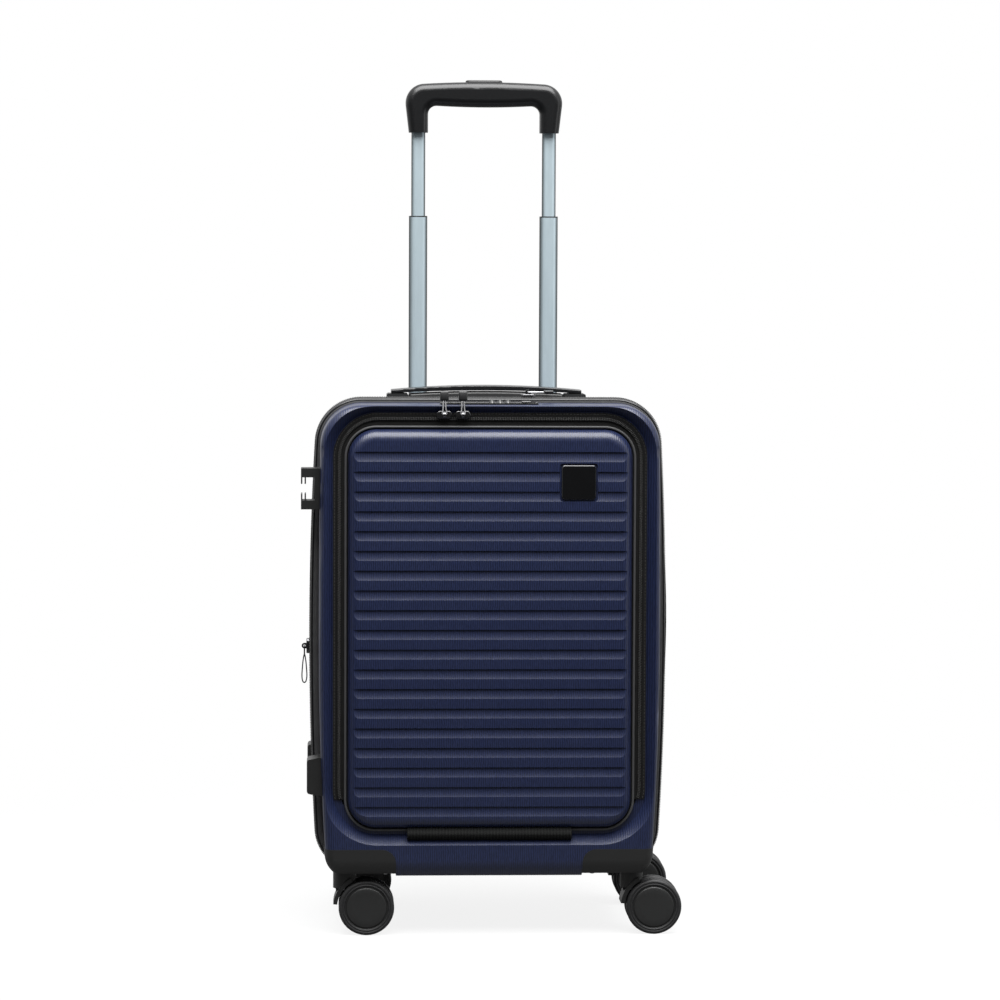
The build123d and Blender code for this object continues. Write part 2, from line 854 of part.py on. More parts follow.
inner_tube_top = grip_bottom + grip_socket
inner_tube_bottom = inner_tube_top - inner_tube_length
inner_tubes = tube_pair(inner_tube_bottom, inner_tube_top, inner_tube_width, inner_tube_depth)
inner_tubes.label = "inner_tubes"
export_step(inner_tubes, "parts/inner_tubes.step")

# Guide collars at the mouths of the middle tubes, in which the inner tubes slide
guide_width = inner_tube_width + 2 * tube_gap
guide_depth = inner_tube_depth + 2 * tube_gap
with BuildPart() as tube_collars:
    plug_width = middle_tube_width - 2 * tube_wall
    plug_depth = middle_tube_depth - 2 * tube_wall
    extrude(tube_faces(middle_tube_top, middle_tube_width, middle_tube_depth), amount=tube_wall)
    extrude(tube_faces(middle_tube_top, plug_width, plug_depth), amount=-collar_height)
    guide = tube_faces(middle_tube_top - collar_height, guide_width, guide_depth)
    extrude(guide, amount=collar_height + tube_wall, mode=Mode.SUBTRACT)
tube_collars.part.label = "tube_collars"
export_step(tube_collars.part, "parts/tube_collars.step")

# Cup that the grip sinks into, with a flange that follows the shell's top
flange_body = rear_body(bezel_flange_thick)
bezel_high = shell_top + belt_bulge
bezel_flanges = clipped(
    flange_body,
    (-cup_half - bezel_flange, bezel_front - bezel_flange, shell_middle),
    (cup_half + bezel_flange, bezel_back + bezel_flange, bezel_high),
)
bezel_cup = clipped(
    flange_body, (-cup_half, bezel_front, outer_tube_top), (cup_half, bezel_back, bezel_high)
)
with BuildPart() as trolley_bezel:
    add(bezel_flanges)
    add(rear_outer, mode=Mode.SUBTRACT)
    add(bezel_cup)
    box_between(
        (-cup_half + bezel_wall, bezel_front + bezel_wall, outer_tube_top + bezel_floor_thick),
        (cup_half - bezel_wall, bezel_back - bezel_wall, bezel_high),
        mode=Mode.SUBTRACT,
    )
    mouth_width = middle_tube_width + 2 * tube_gap
    mouth_depth = middle_tube_depth + 2 * tube_gap
    mouths = tube_faces(outer_tube_top, mouth_width, mouth_depth)
    extrude(mouths, amount=bezel_floor_thick, mode=Mode.SUBTRACT)
trolley_bezel.part.label = "trolley_bezel"
export_step(trolley_bezel.part, "parts/trolley_bezel.step")

base_block = clipped(
    rear_inner,
    (-base_length / 2, tube_y - base_width / 2, 0),
    (base_length / 2, tube_y + base_width / 2, outer_tube_bottom + base_socket),
)
with BuildPart() as trolley_base:
    add(base_block)
    base_sockets = tube_faces(outer_tube_bottom, outer_tube_width, outer_tube_depth)
    extrude(base_sockets, amount=base_socket, mode=Mode.SUBTRACT)
trolley_base.part.label = "trolley_base"
export_step(trolley_base.part, "parts/trolley_base.step")

# Grip with flared legs, a bellied bar, rounded shoulders and a release button in its top
grip_half = grip_width / 2
leg_inner = tube_spacing / 2 - grip_leg / 2
leg_outer = tube_spacing / 2 + grip_leg / 2
bar_low = grip_top - grip_bar
bar_corner = bar_low + grip_belly
shoulder_top = grip_top - grip_crown
with BuildPart() as grip:
    with BuildSketch(facing_front(tube_y)) as grip_view:
        with BuildLine():
            belly = ThreePointArc((-leg_inner, bar_corner), (0, bar_low), (leg_inner, bar_corner))
            crown = ThreePointArc((grip_half, shoulder_top), (0, grip_top), (-grip_half, shoulder_top))
            Polyline(belly @ 1, (leg_inner, grip_bottom), (leg_outer, grip_bottom), crown @ 0)
            Polyline(crown @ 1, (-leg_outer, grip_bottom), (-leg_inner, grip_bottom), belly @ 0)
        make_face()
        fillet(grip_view.vertices().group_by(Axis.Y)[-1], grip_shoulder)
        inner = grip_view.vertices().filter_by_position(Axis.Y, bar_corner - 0.01, bar_corner + 0.01)
        fillet(inner, grip_corner)
    extrude(amount=grip_depth / 2, both=True)
    rims = grip.faces().sort_by(Axis.Y)[0].edges() + grip.faces().sort_by(Axis.Y)[-1].edges()
    fillet(rims.filter_by_position(Axis.Z, grip_bottom + 1, grip_top), grip_edge)
    grip_sockets = tube_faces(grip_bottom, inner_tube_width, inner_tube_depth)
    extrude(grip_sockets, amount=grip_socket, mode=Mode.SUBTRACT)
    with BuildSketch(Plane.XY.offset(grip_top)):
        with Locations((0, tube_y)):
            SlotOverall(button_length + 2 * button_gap, button_width + 2 * button_gap)
    extrude(amount=-(button_height + button_travel + button_spring_gap), mode=Mode.SUBTRACT)
grip.part.label = "grip"
export_step(grip.part, "parts/grip.step")

with BuildPart() as grip_button:
    with BuildSketch(Plane.XY.offset(grip_top + button_proud)):
        with Locations((0, tube_y)):
            SlotOverall(button_length, button_width)
    extrude(amount=-button_height - button_proud)
    fillet(grip_button.faces().sort_by(Axis.Z)[-1].edges(), button_proud)
grip_button.part.label = "grip_button"
export_step(grip_button.part, "parts/grip_button.step")

# Carry handles: an arched strap on two posts, which lift out of their brackets
top_drop = (carry_depth_place - rear_rim) * tan(radians(shell_draft))
top_seat = Plane(
    origin=(0, carry_depth_place, shell_top - top_drop),
    x_dir=(1, 0, 0),
    z_dir=(0, -1, 0),
)
side_seat = Plane(
    origin=(half_width - top_drop, carry_depth_place, side_carry_height),
    x_dir=(0, 0, -1),
    z_dir=(0, -1, 0),
)
post_middle = carry_length / 2 - bracket_length / 2


def carry_handle(seat):
    """Arched strap with a post at each end, its profile drawn on a plane square to the shell."""
    end = carry_length / 2 - (bracket_length - post_length) / 2
    with BuildPart() as handle:
        with BuildSketch(seat):
            with BuildLine():
                crest = ThreePointArc((-end, carry_end_top), (0, carry_crest), (end, carry_end_top))
                Line(crest @ 1, (end, carry_end_top - carry_end_thick))
                under = ThreePointArc(
                    (end, carry_end_top - carry_end_thick),
                    (0, carry_crest - carry_thick),
                    (-end, carry_end_top - carry_end_thick),
                )
                Line(under @ 1, crest @ 0)
            make_face()
        extrude(amount=carry_width / 2, both=True)
        fillet(handle.edges().filter_by(GeomType.CIRCLE), carry_round)
        with BuildSketch(seat):
            post_top = carry_end_top - carry_end_thick / 2
            with Locations((-post_middle, post_top / 2), (post_middle, post_top / 2)):
                Rectangle(post_length, post_top - 2 * post_foot_gap)
        extrude(amount=post_width / 2, both=True)
    return handle.part


def carry_brackets(seat):
    """Pair of brackets seated on the shell, each with a slot for the strap's post."""
    with BuildPart() as brackets:
        with BuildSketch(seat):
            with Locations((-post_middle, 0), (post_middle, 0)):
                Rectangle(bracket_length, 2 * bracket_height)
        extrude(amount=bracket_width / 2, both=True)
        fillet(brackets.edges().filter_by(Axis.Y), bracket_round)
        with BuildSketch(seat):
            with Locations((-post_middle, 0), (post_middle, 0)):
                Rectangle(post_length + 2 * post_gap, 3 * bracket_height)
        extrude(amount=post_width / 2 + post_gap, both=True, mode=Mode.SUBTRACT)
        add(rear_outer, mode=Mode.SUBTRACT)
    return brackets.part


for label, piece in {
    "top_carry_handle": carry_handle(top_seat),
    "top_handle_brackets": carry_brackets(top_seat),
    "side_carry_handle": carry_handle(side_seat),
    "side_handle_brackets": carry_brackets(side_seat),
}.items():
    piece.label = label
    export_step(piece, f"parts/{label}.step")

# Combination lock: case through the lid's top, three dials on a shaft and a sliding button
button_left = lock_left + lock_button_place
button_floor = lock_top - lock_button_height
slot_places = [lock_left + lock_slot_place + i * lock_slot_pitch for i in range(2)]
lock_high = shell_top + belt_bulge
plate_body = front_body(lock_plate)
lock_cover = clipped(
    plate_body, (lock_left, lock_front, shell_middle), (lock_right, lock_back, lock_high)
)
lock_body = clipped(
    plate_body,
    (lock_left + lock_plate_lip, lock_front + lock_plate_lip, lock_floor),
    (lock_right - lock_plate_lip, lock_back - lock_plate_lip, lock_high),
)
with BuildPart() as lock_case:
    add(lock_cover)
    add(front_outer, mode=Mode.SUBTRACT)
    add(lock_body)
    for dial_x in dial_places:
        with Locations(Location((dial_x, lock_middle_y, dial_z), (0, 90, 0))):
            Cylinder(dial_radius + dial_gap, dial_thick + 2 * dial_gap, mode=Mode.SUBTRACT)
    with Locations(Location((dial_places[1], lock_middle_y, dial_z), (0, 90, 0))):
        Cylinder(dial_shaft, 2 * dial_pitch + 2 * dial_thick)
    box_between(
        (button_left - dial_gap, lock_middle_y - lock_button_width / 2 - dial_gap, button_floor - dial_gap),
        (
            button_left + lock_button_length + lock_button_travel + dial_gap,
            lock_middle_y + lock_button_width / 2 + dial_gap,
            lock_top + lock_plate,
        ),
        mode=Mode.SUBTRACT,
    )
    for slot_x in slot_places:
        box_between(
            (slot_x, lock_middle_y - lock_slot_width / 2, lock_top - lock_slot_depth),
            (slot_x + lock_slot_length, lock_middle_y + lock_slot_width / 2, lock_top + lock_plate),
            mode=Mode.SUBTRACT,
        )
lock_case.part.label = "lock_case"
export_step(lock_case.part, "parts/lock_case.step")

for number, dial_x in enumerate(dial_places, start=1):
    with BuildPart() as dial:
        with Locations(Location((dial_x, lock_middle_y, dial_z), (0, 90, 0))):
            Cylinder(dial_radius, dial_thick)
            Cylinder(dial_shaft + running_gap, dial_thick, mode=Mode.SUBTRACT)
    dial.part.label = f"lock_dial_{number}"
    export_step(dial.part, f"parts/lock_dial_{number}.step")

with BuildPart() as lock_button:
    box_between(
        (button_left, lock_middle_y - lock_button_width / 2, button_floor),
        (
            button_left + lock_button_length,
            lock_middle_y + lock_button_width / 2,
            lock_top + lock_button_proud,
        ),
    )
    fillet(lock_button.faces().sort_by(Axis.Z)[-1].edges(), lock_button_proud)
lock_button.part.label = "lock_button"
export_step(lock_button.part, "parts/lock_button.step")


# Zip sliders, each a shaped body with a bail, and pullers that hang on a pin through the bail
def zip_slider(seat, pivot, pin_stand):
    """Slider body on a seat plane, with a bail around the puller's pin at the pivot plane."""
    with BuildPart() as slider:
        with BuildSketch(seat):
            SlotOverall(slider_length, slider_width)
        extrude(amount=slider_thick)
        fillet(slider.faces().sort_by(Axis(seat.origin, seat.z_dir))[-1].edges(), slider_round)
        bail_face = Plane(origin=pivot.origin, x_dir=seat.z_dir, z_dir=pivot.x_dir)
        with BuildSketch(bail_face):
            Circle(bail_radius)
            with Locations((-pin_stand / 2, 0)):
                Rectangle(pin_stand, 2 * bail_radius)
        extrude(amount=bail_thick / 2, both=True)
        with BuildSketch(bail_face):
            Circle(pin_radius + pin_gap)
        extrude(amount=bail_thick, both=True, mode=Mode.SUBTRACT)
    return slider.part


def zip_puller(pivot, length):
    """Pin, window and strap of a puller that reaches along its pivot plane's local y to a knob."""
    with BuildPart() as puller:
        with BuildSketch(pivot):
            with Locations((0, (length - knob_length / 2) / 2)):
                Rectangle(puller_width, length - knob_length / 2)
            with Locations((0, (puller_window_reach - bail_radius) / 2)):
                Rectangle(puller_window, puller_window_reach + bail_radius, mode=Mode.SUBTRACT)
        extrude(amount=puller_thick / 2, both=True)
        with BuildSketch(pivot):
            with Locations((0, length - knob_length / 2)):
                RectangleRounded(knob_width, knob_length, knob_round)
        extrude(amount=knob_thick / 2, both=True)
        with BuildSketch(Plane(origin=pivot.origin, x_dir=pivot.y_dir, z_dir=pivot.x_dir)):
            Circle(pin_radius)
        extrude(amount=puller_width / 2, both=True)
    return puller.part


coil_front = recess_floor - coil_height - slider_gap
zip_top = shell_top - recess_top_margin - coil_inset
lean = radians(puller_lean)
belt_side = half_width + belt_bulge + slider_gap
belt_top = shell_top + belt_rise + slider_gap
expander_y = rear_rim - expander_inset
main_slider_y = split_rear + slider_width / 2 + slider_gap
for place, side in zip(pocket_slider_places, ("left", "right")):
    slider_z = zip_top + pocket_slider_rise + slider_width / 2 - bail_radius
    seat = Plane(origin=(place, coil_front, slider_z), x_dir=(1, 0, 0), z_dir=(0, -1, 0))
    pin_y = coil_front - slider_thick - pocket_pin_stand
    pivot = Plane(origin=(place, pin_y, slider_z), x_dir=(1, 0, 0), z_dir=(0, -cos(lean), sin(lean)))
    pocket_slider = zip_slider(seat, pivot, pocket_pin_stand)
    pocket_slider.label = f"pocket_slider_{side}"
    export_step(pocket_slider, f"parts/pocket_slider_{side}.step")
    pocket_puller = zip_puller(pivot, puller_length)
    pocket_puller.label = f"pocket_puller_{side}"
    export_step(pocket_puller, f"parts/pocket_puller_{side}.step")

expander_seat = Plane(
    origin=(-belt_side, expander_y, expander_height),
    x_dir=(0, 0, 1),
    z_dir=(-1, 0, 0),
)
expander_pivot = Plane(
    origin=(-belt_side - slider_thick - belt_pin_stand, expander_y, expander_height),
    x_dir=(0, 1, 0),
    z_dir=(-1, 0, 0),
)
main_seat = Plane(
    origin=(main_slider_place, main_slider_y, belt_top),
    x_dir=(1, 0, 0),
    z_dir=(0, 0, 1),
)
main_pivot = Plane(
    origin=(main_slider_place, main_slider_y, belt_top + slider_thick + belt_pin_stand),
    x_dir=(0, -1, 0),
    z_dir=(0, 0, 1),
)
for label, piece in {
    "expander_slider": zip_slider(expander_seat, expander_pivot, belt_pin_stand),
    "expander_puller": zip_puller(expander_pivot, expander_puller_length),
    "main_slider": zip_slider(main_seat, main_pivot, belt_pin_stand),
    "main_puller": zip_puller(main_pivot, main_puller_length),
}.items():
    piece.label = label
    export_step(piece, f"parts/{label}.step")


# Side feet on both shells and the strap hook above them
def side_foot(near, length, shell):
    """Rubber-faced foot on the left side, tapering outward from the shell."""
    with BuildPart() as foot:
        with BuildSketch(facing_front(near + length)):
            with BuildLine():
                Polyline(
                    (-half_width + edge_round, foot_low),
                    (-half_width + edge_round, foot_low + foot_height),
                    (-half_width, foot_low + foot_height),
                    (-half_width - foot_proud, foot_low + foot_height - foot_slope),
                    (-half_width - foot_proud, foot_low + foot_slope),
                    (-half_width, foot_low),
                    close=True,
                )
            make_face()
        extrude(amount=length)
        fillet(foot.faces().sort_by(Axis.X)[0].edges(), foot_round)
        add(shell, mode=Mode.SUBTRACT)
    return foot.part


front_foot = side_foot(front_rim - front_foot_gap - front_foot_length, front_foot_length, front_outer)
front_foot.label = "front_side_foot"
export_step(front_foot, "parts/front_side_foot.step")
rear_foot = side_foot(rear_rim + rear_foot_gap, rear_foot_length, rear_outer)
rear_foot.label = "rear_side_foot"
export_step(rear_foot, "parts/rear_side_foot.step")

hook_top = hook_low + hook_height
hook_outer = -half_width - hook_proud
hook_back = -half_width - hook_base
with BuildPart() as side_hook:
    with BuildSketch(facing_front(front_rim - hook_gap)):
        with BuildLine():
            Polyline(
                (-half_width + edge_round, hook_low),
                (hook_outer, hook_low),
                (hook_outer, hook_low + hook_arm),
                (hook_back, hook_low + hook_arm),
                (hook_back, hook_top - hook_arm),
                (hook_outer, hook_top - hook_arm),
                (hook_outer, hook_top),
                (-half_width + edge_round, hook_top),
                close=True,
            )
        make_face()
        for i in range(2):
            prong_x = hook_outer + prong_thick / 2 + i * prong_pitch
            low_tip = (prong_x, hook_low + hook_arm + prong_length / 2)
            high_tip = (prong_x, hook_top - hook_arm - prong_length / 2)
            with Locations(low_tip, high_tip):
                Rectangle(prong_thick, prong_length)
    extrude(amount=hook_length)
    add(front_outer, mode=Mode.SUBTRACT)
side_hook.part.label = "side_hook"
export_step(side_hook.part, "parts/side_hook.step")
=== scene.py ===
"""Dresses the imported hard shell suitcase: finishes, zips, belt, wheels, fittings and a studio stage."""

import json
import math

import bmesh
import bpy
from mathutils import Matrix, Vector


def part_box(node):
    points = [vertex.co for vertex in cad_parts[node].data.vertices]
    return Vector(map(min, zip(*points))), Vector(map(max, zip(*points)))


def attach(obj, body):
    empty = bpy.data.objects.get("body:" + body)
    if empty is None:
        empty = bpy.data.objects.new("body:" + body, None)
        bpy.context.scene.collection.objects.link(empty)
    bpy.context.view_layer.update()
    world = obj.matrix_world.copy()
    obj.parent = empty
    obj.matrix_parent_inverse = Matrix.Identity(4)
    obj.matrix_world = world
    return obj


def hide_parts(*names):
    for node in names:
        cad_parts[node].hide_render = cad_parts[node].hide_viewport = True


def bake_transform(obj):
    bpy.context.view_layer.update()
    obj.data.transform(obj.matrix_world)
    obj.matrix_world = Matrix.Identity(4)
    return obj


bl_info = {
    "name": "Suitcase dresser",
    "version": (1, 0, 0),
    "blender": (4, 5, 0),
    "location": "View3D > Sidebar > Suitcase",
    "description": "Dresses a hard shell suitcase on wheels around its solid parts",
    "category": "Object",
}

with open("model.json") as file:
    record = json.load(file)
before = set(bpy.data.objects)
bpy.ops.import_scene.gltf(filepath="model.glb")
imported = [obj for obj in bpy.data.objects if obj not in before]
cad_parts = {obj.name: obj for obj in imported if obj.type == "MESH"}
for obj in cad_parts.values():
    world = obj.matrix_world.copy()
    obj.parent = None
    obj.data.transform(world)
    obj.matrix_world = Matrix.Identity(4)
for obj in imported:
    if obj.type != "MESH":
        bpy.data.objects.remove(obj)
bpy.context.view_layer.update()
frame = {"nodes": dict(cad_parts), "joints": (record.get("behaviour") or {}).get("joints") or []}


# Places read from the solid parts
def corners(node):
    """Lowest and highest corner of a solid part, as vectors."""
    low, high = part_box(node)
    return Vector(low), Vector(high)


PANEL_LOW, PANEL_HIGH = corners("front_panel")
GUSSET_LOW, GUSSET_HIGH = corners("main_gusset")
LID_BAND_LOW, LID_BAND_HIGH = corners("main_zip_front")
FRAME_TAPE_LOW, FRAME_TAPE_HIGH = corners("pocket_zip_frame")
PANEL_TAPE_LOW = corners("pocket_zip_panel")[0]
WEBBING_HIGH = corners("panel_hinge_webbing")[1]
SHELL_LOW, SHELL_HIGH = corners("front_shell")
CASTERS = ("front_left", "front_right", "rear_left", "rear_right")


# Settings that a user may change
def colour_setting(name, description, *default):
    """A colour."""
    words = {"name": name, "description": description}
    return bpy.props.FloatVectorProperty(**words, subtype="COLOR", default=default)


def length_setting(name, description, default):
    """A length in metres."""
    return bpy.props.FloatProperty(name=name, description=description, unit="LENGTH", default=default)


def number_setting(name, description, default, subtype="NONE"):
    """A plain number, or one of a kind such as an angle or a power."""
    return bpy.props.FloatProperty(name=name, description=description, subtype=subtype, default=default)


class SuitcaseColours(bpy.types.PropertyGroup):
    """Colours of the suitcase's finishes."""

    navy: colour_setting("Shell", "Navy of the moulded shells and panel", 0.0108, 0.0158, 0.0460)
    charcoal: colour_setting("Trim", "Moulded housings, forks and brackets", 0.0098, 0.0100, 0.0100)
    soft_black: colour_setting("Grips", "Soft grips and carry handles", 0.0060, 0.0062, 0.0068)
    belt: colour_setting("Belt", "Woven belt between the shells", 0.0380, 0.0380, 0.0395)
    tape: colour_setting("Zip tape", "Tapes of the pocket zip", 0.0068, 0.0067, 0.0066)
    piping: colour_setting("Piping", "Cord round the pocket panel", 0.0480, 0.0480, 0.0490)
    webbing: colour_setting("Webbing", "Folded webbing under the panel", 0.0050, 0.0053, 0.0050)
    alloy: colour_setting("Tubes", "Anodised handle tubes", 0.57, 0.685, 0.74)
    steel: colour_setting("Steel", "Pins, axles and screws", 0.50, 0.50, 0.51)
    nickel: colour_setting("Black nickel", "Zip sliders and pullers", 0.16, 0.16, 0.165)
    lining: colour_setting("Lining", "Cloth inside the case", 0.075, 0.080, 0.090)
    tyre: colour_setting("Tyres", "Rolling rim of the wheels", 0.0110, 0.0111, 0.0118)


class SuitcaseSewing(bpy.types.PropertyGroup):
    """Sizes of the sewn work."""

    tooth_pitch: length_setting("Tooth pitch", "Distance from one zip tooth to the next", 0.0017)
    tooth_reach: length_setting("Tooth reach", "Width of one zip tooth across the zip", 0.0021)
    stitch_pitch: length_setting("Stitch pitch", "Distance from one stitch to the next", 0.0034)
    stitch_length: length_setting("Stitch length", "Length of one stitch", 0.0024)
    thread: length_setting("Thread", "Radius of the sewing thread", 0.00028)
    piping_radius: length_setting("Piping", "Radius of the piping round the panel", 0.00128)


class SuitcaseOutline(bpy.types.PropertyGroup):
    """Corner radii and bow of the case's outlines."""

    belt_bow: length_setting("Side bow", "How far the sides swell between their ends", 0.008)
    belt_top_corner: length_setting("Belt top corner", "Radius of the belt's upper corners", 0.0465)
    belt_low_corner: length_setting("Belt lower corner", "Radius of the belt's lower corners", 0.045)
    recess_corner: length_setting("Recess corner", "Corner radius of the pocket's recess", 0.046)
    recess_margin: length_setting("Tape margin", "From the recess floor's edge to the zip tape", 0.0008)
    recess_floor_low: length_setting("Recess foot", "Height of the recess floor's lower edge", 0.103)
    panel_corner: length_setting("Panel corner", "Corner radius of the pocket panel", 0.028)


class SuitcaseStage(bpy.types.PropertyGroup):
    """Camera and light."""

    camera_place: bpy.props.FloatVectorProperty(
        name="Camera",
        description="Where the camera stands",
        subtype="TRANSLATION",
        default=(-0.1616, -3.6974, 0.6780),
    )
    camera_yaw: number_setting("Yaw", "Turn of the camera about the upright", math.radians(-2.726), "ANGLE")
    camera_pitch: number_setting("Pitch", "How far the camera looks down", math.radians(3.793), "ANGLE")
    camera_roll: number_setting("Roll", "Tilt of the picture", math.radians(0.244), "ANGLE")
    lens: number_setting("Lens", "Focal length in mm on a 36 mm sensor", 130.0)
    overhead: number_setting("Overhead", "Power of the softbox above the front", 150.0, "POWER")
    right_fill: number_setting("Right fill", "Power of the softbox on the right", 6.0, "POWER")
    room: number_setting("Room", "Strength of the even room light", 0.42)
    dark_wall: number_setting("Dark wall", "What a shiny surface sees of the wall behind the camera", 0.05)
    floor_veil: number_setting("Floor veil", "How far the floor's shadow is thinned out", 0.86)


# Finishes: node materials put together step by step
def add_node(tree, kind, **settings):
    """Adds a node and sets its inputs, with _ for a space, and its properties by name."""
    node = tree.nodes.new(kind)
    for name, value in settings.items():
        label = name.replace("_", " ")
        if label in node.inputs:
            node.inputs[label].default_value = value
        else:
            setattr(node, name, value)
    return node


def ramped(tree, value, low, high, start=0.0, end=1.0, way="LINEAR"):
    """A value spread from start and end to low and high."""
    ramp = add_node(tree, "ShaderNodeMapRange", interpolation_type=way, From_Min=start, From_Max=end)
    ramp.inputs["To Min"].default_value = low
    ramp.inputs["To Max"].default_value = high
    tree.links.new(value, ramp.inputs["Value"])
    return ramp.outputs["Result"]


def combined(tree, way, first, second):
    """Two values joined by arithmetic."""
    maths = add_node(tree, "ShaderNodeMath", operation=way)
    tree.links.new(first, maths.inputs[0])
    tree.links.new(second, maths.inputs[1])
    return maths.outputs["Value"]


def shaded(colour, factor):
    """A colour made lighter or darker."""
    return tuple(factor * part for part in colour)


class Finish:
    """One material around a Principled shader, with patterns that are added one after the other."""

    def __init__(self, name, colour, roughness, **sockets):
        self.material = bpy.data.materials.new(name)
        self.material.use_nodes = True
        self.tree = self.material.node_tree
        self.shader = self.tree.nodes["Principled BSDF"]
        self.colour = (*colour, 1.0)
        self.shader.inputs["Base Color"].default_value = self.colour
        self.shader.inputs["Roughness"].default_value = roughness
        for socket, value in sockets.items():
            self.shader.inputs[socket.replace("_", " ")].default_value = value

    def node(self, kind, **settings):
        """Adds a node to the material."""
        return add_node(self.tree, kind, **settings)

    def link(self, source, target):
        """Joins two sockets."""
        self.tree.links.new(source, target)

    def place(self, stretch=(1.0, 1.0, 1.0), source="Object"):
        """Coordinates that are stretched."""
        spot = self.node("ShaderNodeTexCoord")
        mapping = self.node("ShaderNodeMapping", Scale=stretch)
        self.link(spot.outputs[source], mapping.inputs["Vector"])
        return mapping.outputs["Vector"]

    def noise(self, vector, size, detail=2.0):
        """Cloudy pattern with blots of about the given size in metres."""
        noise = self.node("ShaderNodeTexNoise", Scale=1.0 / size, Detail=detail)
        self.link(vector, noise.inputs["Vector"])
        return noise.outputs["Fac"]

    def ribs(self, vector, size, direction, bend=0.0):
        """Even ribs across one direction, one every size metres."""
        scale = math.pi / (10.0 * size)
        ribs = self.node("ShaderNodeTexWave", bands_direction=direction, Distortion=bend, Scale=scale)
        self.link(vector, ribs.inputs["Vector"])
        return ribs.outputs["Fac"]

    def mixed(self, first, second, way="MULTIPLY"):
        """Two patterns joined by arithmetic."""
        return combined(self.tree, way, first, second)

    def tint(self, pattern, low, high, start=0.0, end=1.0):
        """Lets a pattern lighten and darken the colour between two factors."""
        shade = self.node("ShaderNodeMix", data_type="RGBA", blend_type="MULTIPLY", Factor=1.0)
        before = self.shader.inputs["Base Color"]
        if before.is_linked:
            self.link(before.links[0].from_socket, shade.inputs[6])
        else:
            shade.inputs[6].default_value = self.colour
        self.link(ramped(self.tree, pattern, low, high, start, end), shade.inputs[7])
        self.link(shade.outputs[2], before)
        return self

    def polish(self, pattern, low, high):
        """Lets a pattern change the roughness between two values."""
        self.link(ramped(self.tree, pattern, low, high), self.shader.inputs["Roughness"])
        return self

    def relief(self, pattern, depth, strength=1.0):
        """Raises the surface by a pattern, by depth metres."""
        bump = self.node("ShaderNodeBump", Strength=strength, Distance=depth)
        self.link(pattern, bump.inputs["Height"])
        self.link(bump.outputs["Normal"], self.shader.inputs["Normal"])
        return self


RECIPES = {}
MADE = {}


def recipe(maker):
    """Lists a finish under the name of the function that makes it."""
    RECIPES[maker.__name__] = maker
    return maker


def finish(name):
    """The material of that name, made when it is first asked for."""
    if name not in MADE:
        MADE[name] = RECIPES[name](bpy.context.scene.suitcase_colours).material
    return MADE[name]


def paint(name, *nodes):
    """Gives solid parts a finish."""
    for node in nodes:
        part = frame["nodes"][node]
        if not part.material_slots:
            part.data.materials.append(None)
        for slot in part.material_slots:
            slot.material = finish(name)


def clouded(name, colour, roughness, size, shades, gloss=None, stretch=(1.0, 1.0, 1.0), **sockets):
    """Finish whose colour, and gloss where it is given, vary in small clouds."""
    made = Finish(name, colour, roughness, **sockets)
    cloud = made.noise(made.place(stretch), size)
    made.tint(cloud, *shades)
    return made.polish(cloud, *gloss) if gloss else made


def woven(name, colour, thread, source, roughness=0.86, contrast=0.30, gloss=0.5):
    """Plain weave: ribs both ways, seen as a fine checker of threads."""
    made = Finish(name, colour, roughness, Sheen_Weight=0.12 * gloss, Specular_IOR_Level=gloss)
    spot = made.place(source=source)
    warp = made.ribs(spot, thread, "X", 0.4)
    weft = made.ribs(spot, thread, "Y" if source == "UV" else "Z", 0.4)
    weave = made.mixed(warp, weft, "ADD")
    made.tint(weave, 1.0 - contrast, 1.0 + contrast, 0.4, 1.6)
    worn = made.noise(made.place(), 0.009)
    return made.tint(worn, 0.90, 1.10, 0.3, 0.7).relief(weave, thread * 0.25, 0.7)


@recipe
def navy_shell(colours):
    """Moulded shell: satin navy with a fine upright grain."""
    made = Finish("Navy shell", colours.navy, 0.34)
    spot = made.place()
    strokes = made.ribs(spot, 0.0022, "X", 3.0)
    blots = made.noise(made.place((1.0, 1.0, 0.35)), 0.0016, 1.0)
    grain = made.mixed(strokes, blots, "ADD")
    cloud = made.noise(spot, 0.012)
    made.tint(grain, 0.62, 1.42, 0.55, 1.45)
    return made.polish(cloud, 0.29, 0.39).relief(grain, 0.00014, 0.55)


@recipe
def charcoal_plastic(colours):
    """Moulded trim: charcoal with a sparked grain."""
    made = Finish("Charcoal plastic", colours.charcoal, 0.46)
    grain = made.noise(made.place(), 0.0006, 2.0)
    cloud = made.noise(made.place(), 0.02)
    return made.tint(cloud, 0.88, 1.12).polish(grain, 0.40, 0.54).relief(grain, 0.00010, 0.5)


@recipe
def soft_grip(colours):
    """Grips: soft black with a faint leathery grain."""
    made = Finish("Soft black", colours.soft_black, 0.30)
    cells = made.noise(made.place(), 0.0011, 3.0)
    return made.tint(cells, 0.86, 1.14, 0.3, 0.7).polish(cells, 0.25, 0.36).relief(cells, 0.00006, 0.35)


@recipe
def belt_cloth(colours):
    """Belt: a firm weave that follows the belt round."""
    return woven("Belt weave", colours.belt, 0.0009, "UV")


@recipe
def tape_cloth(colours):
    """Zip tape: a finer weave."""
    return woven("Zip tape", colours.tape, 0.0007, "Object", gloss=0.2)


@recipe
def lining_cloth(colours):
    """Lining: thin woven cloth with a soft sheen."""
    return woven("Lining cloth", colours.lining, 0.0010, "Object", 0.74, 0.18)


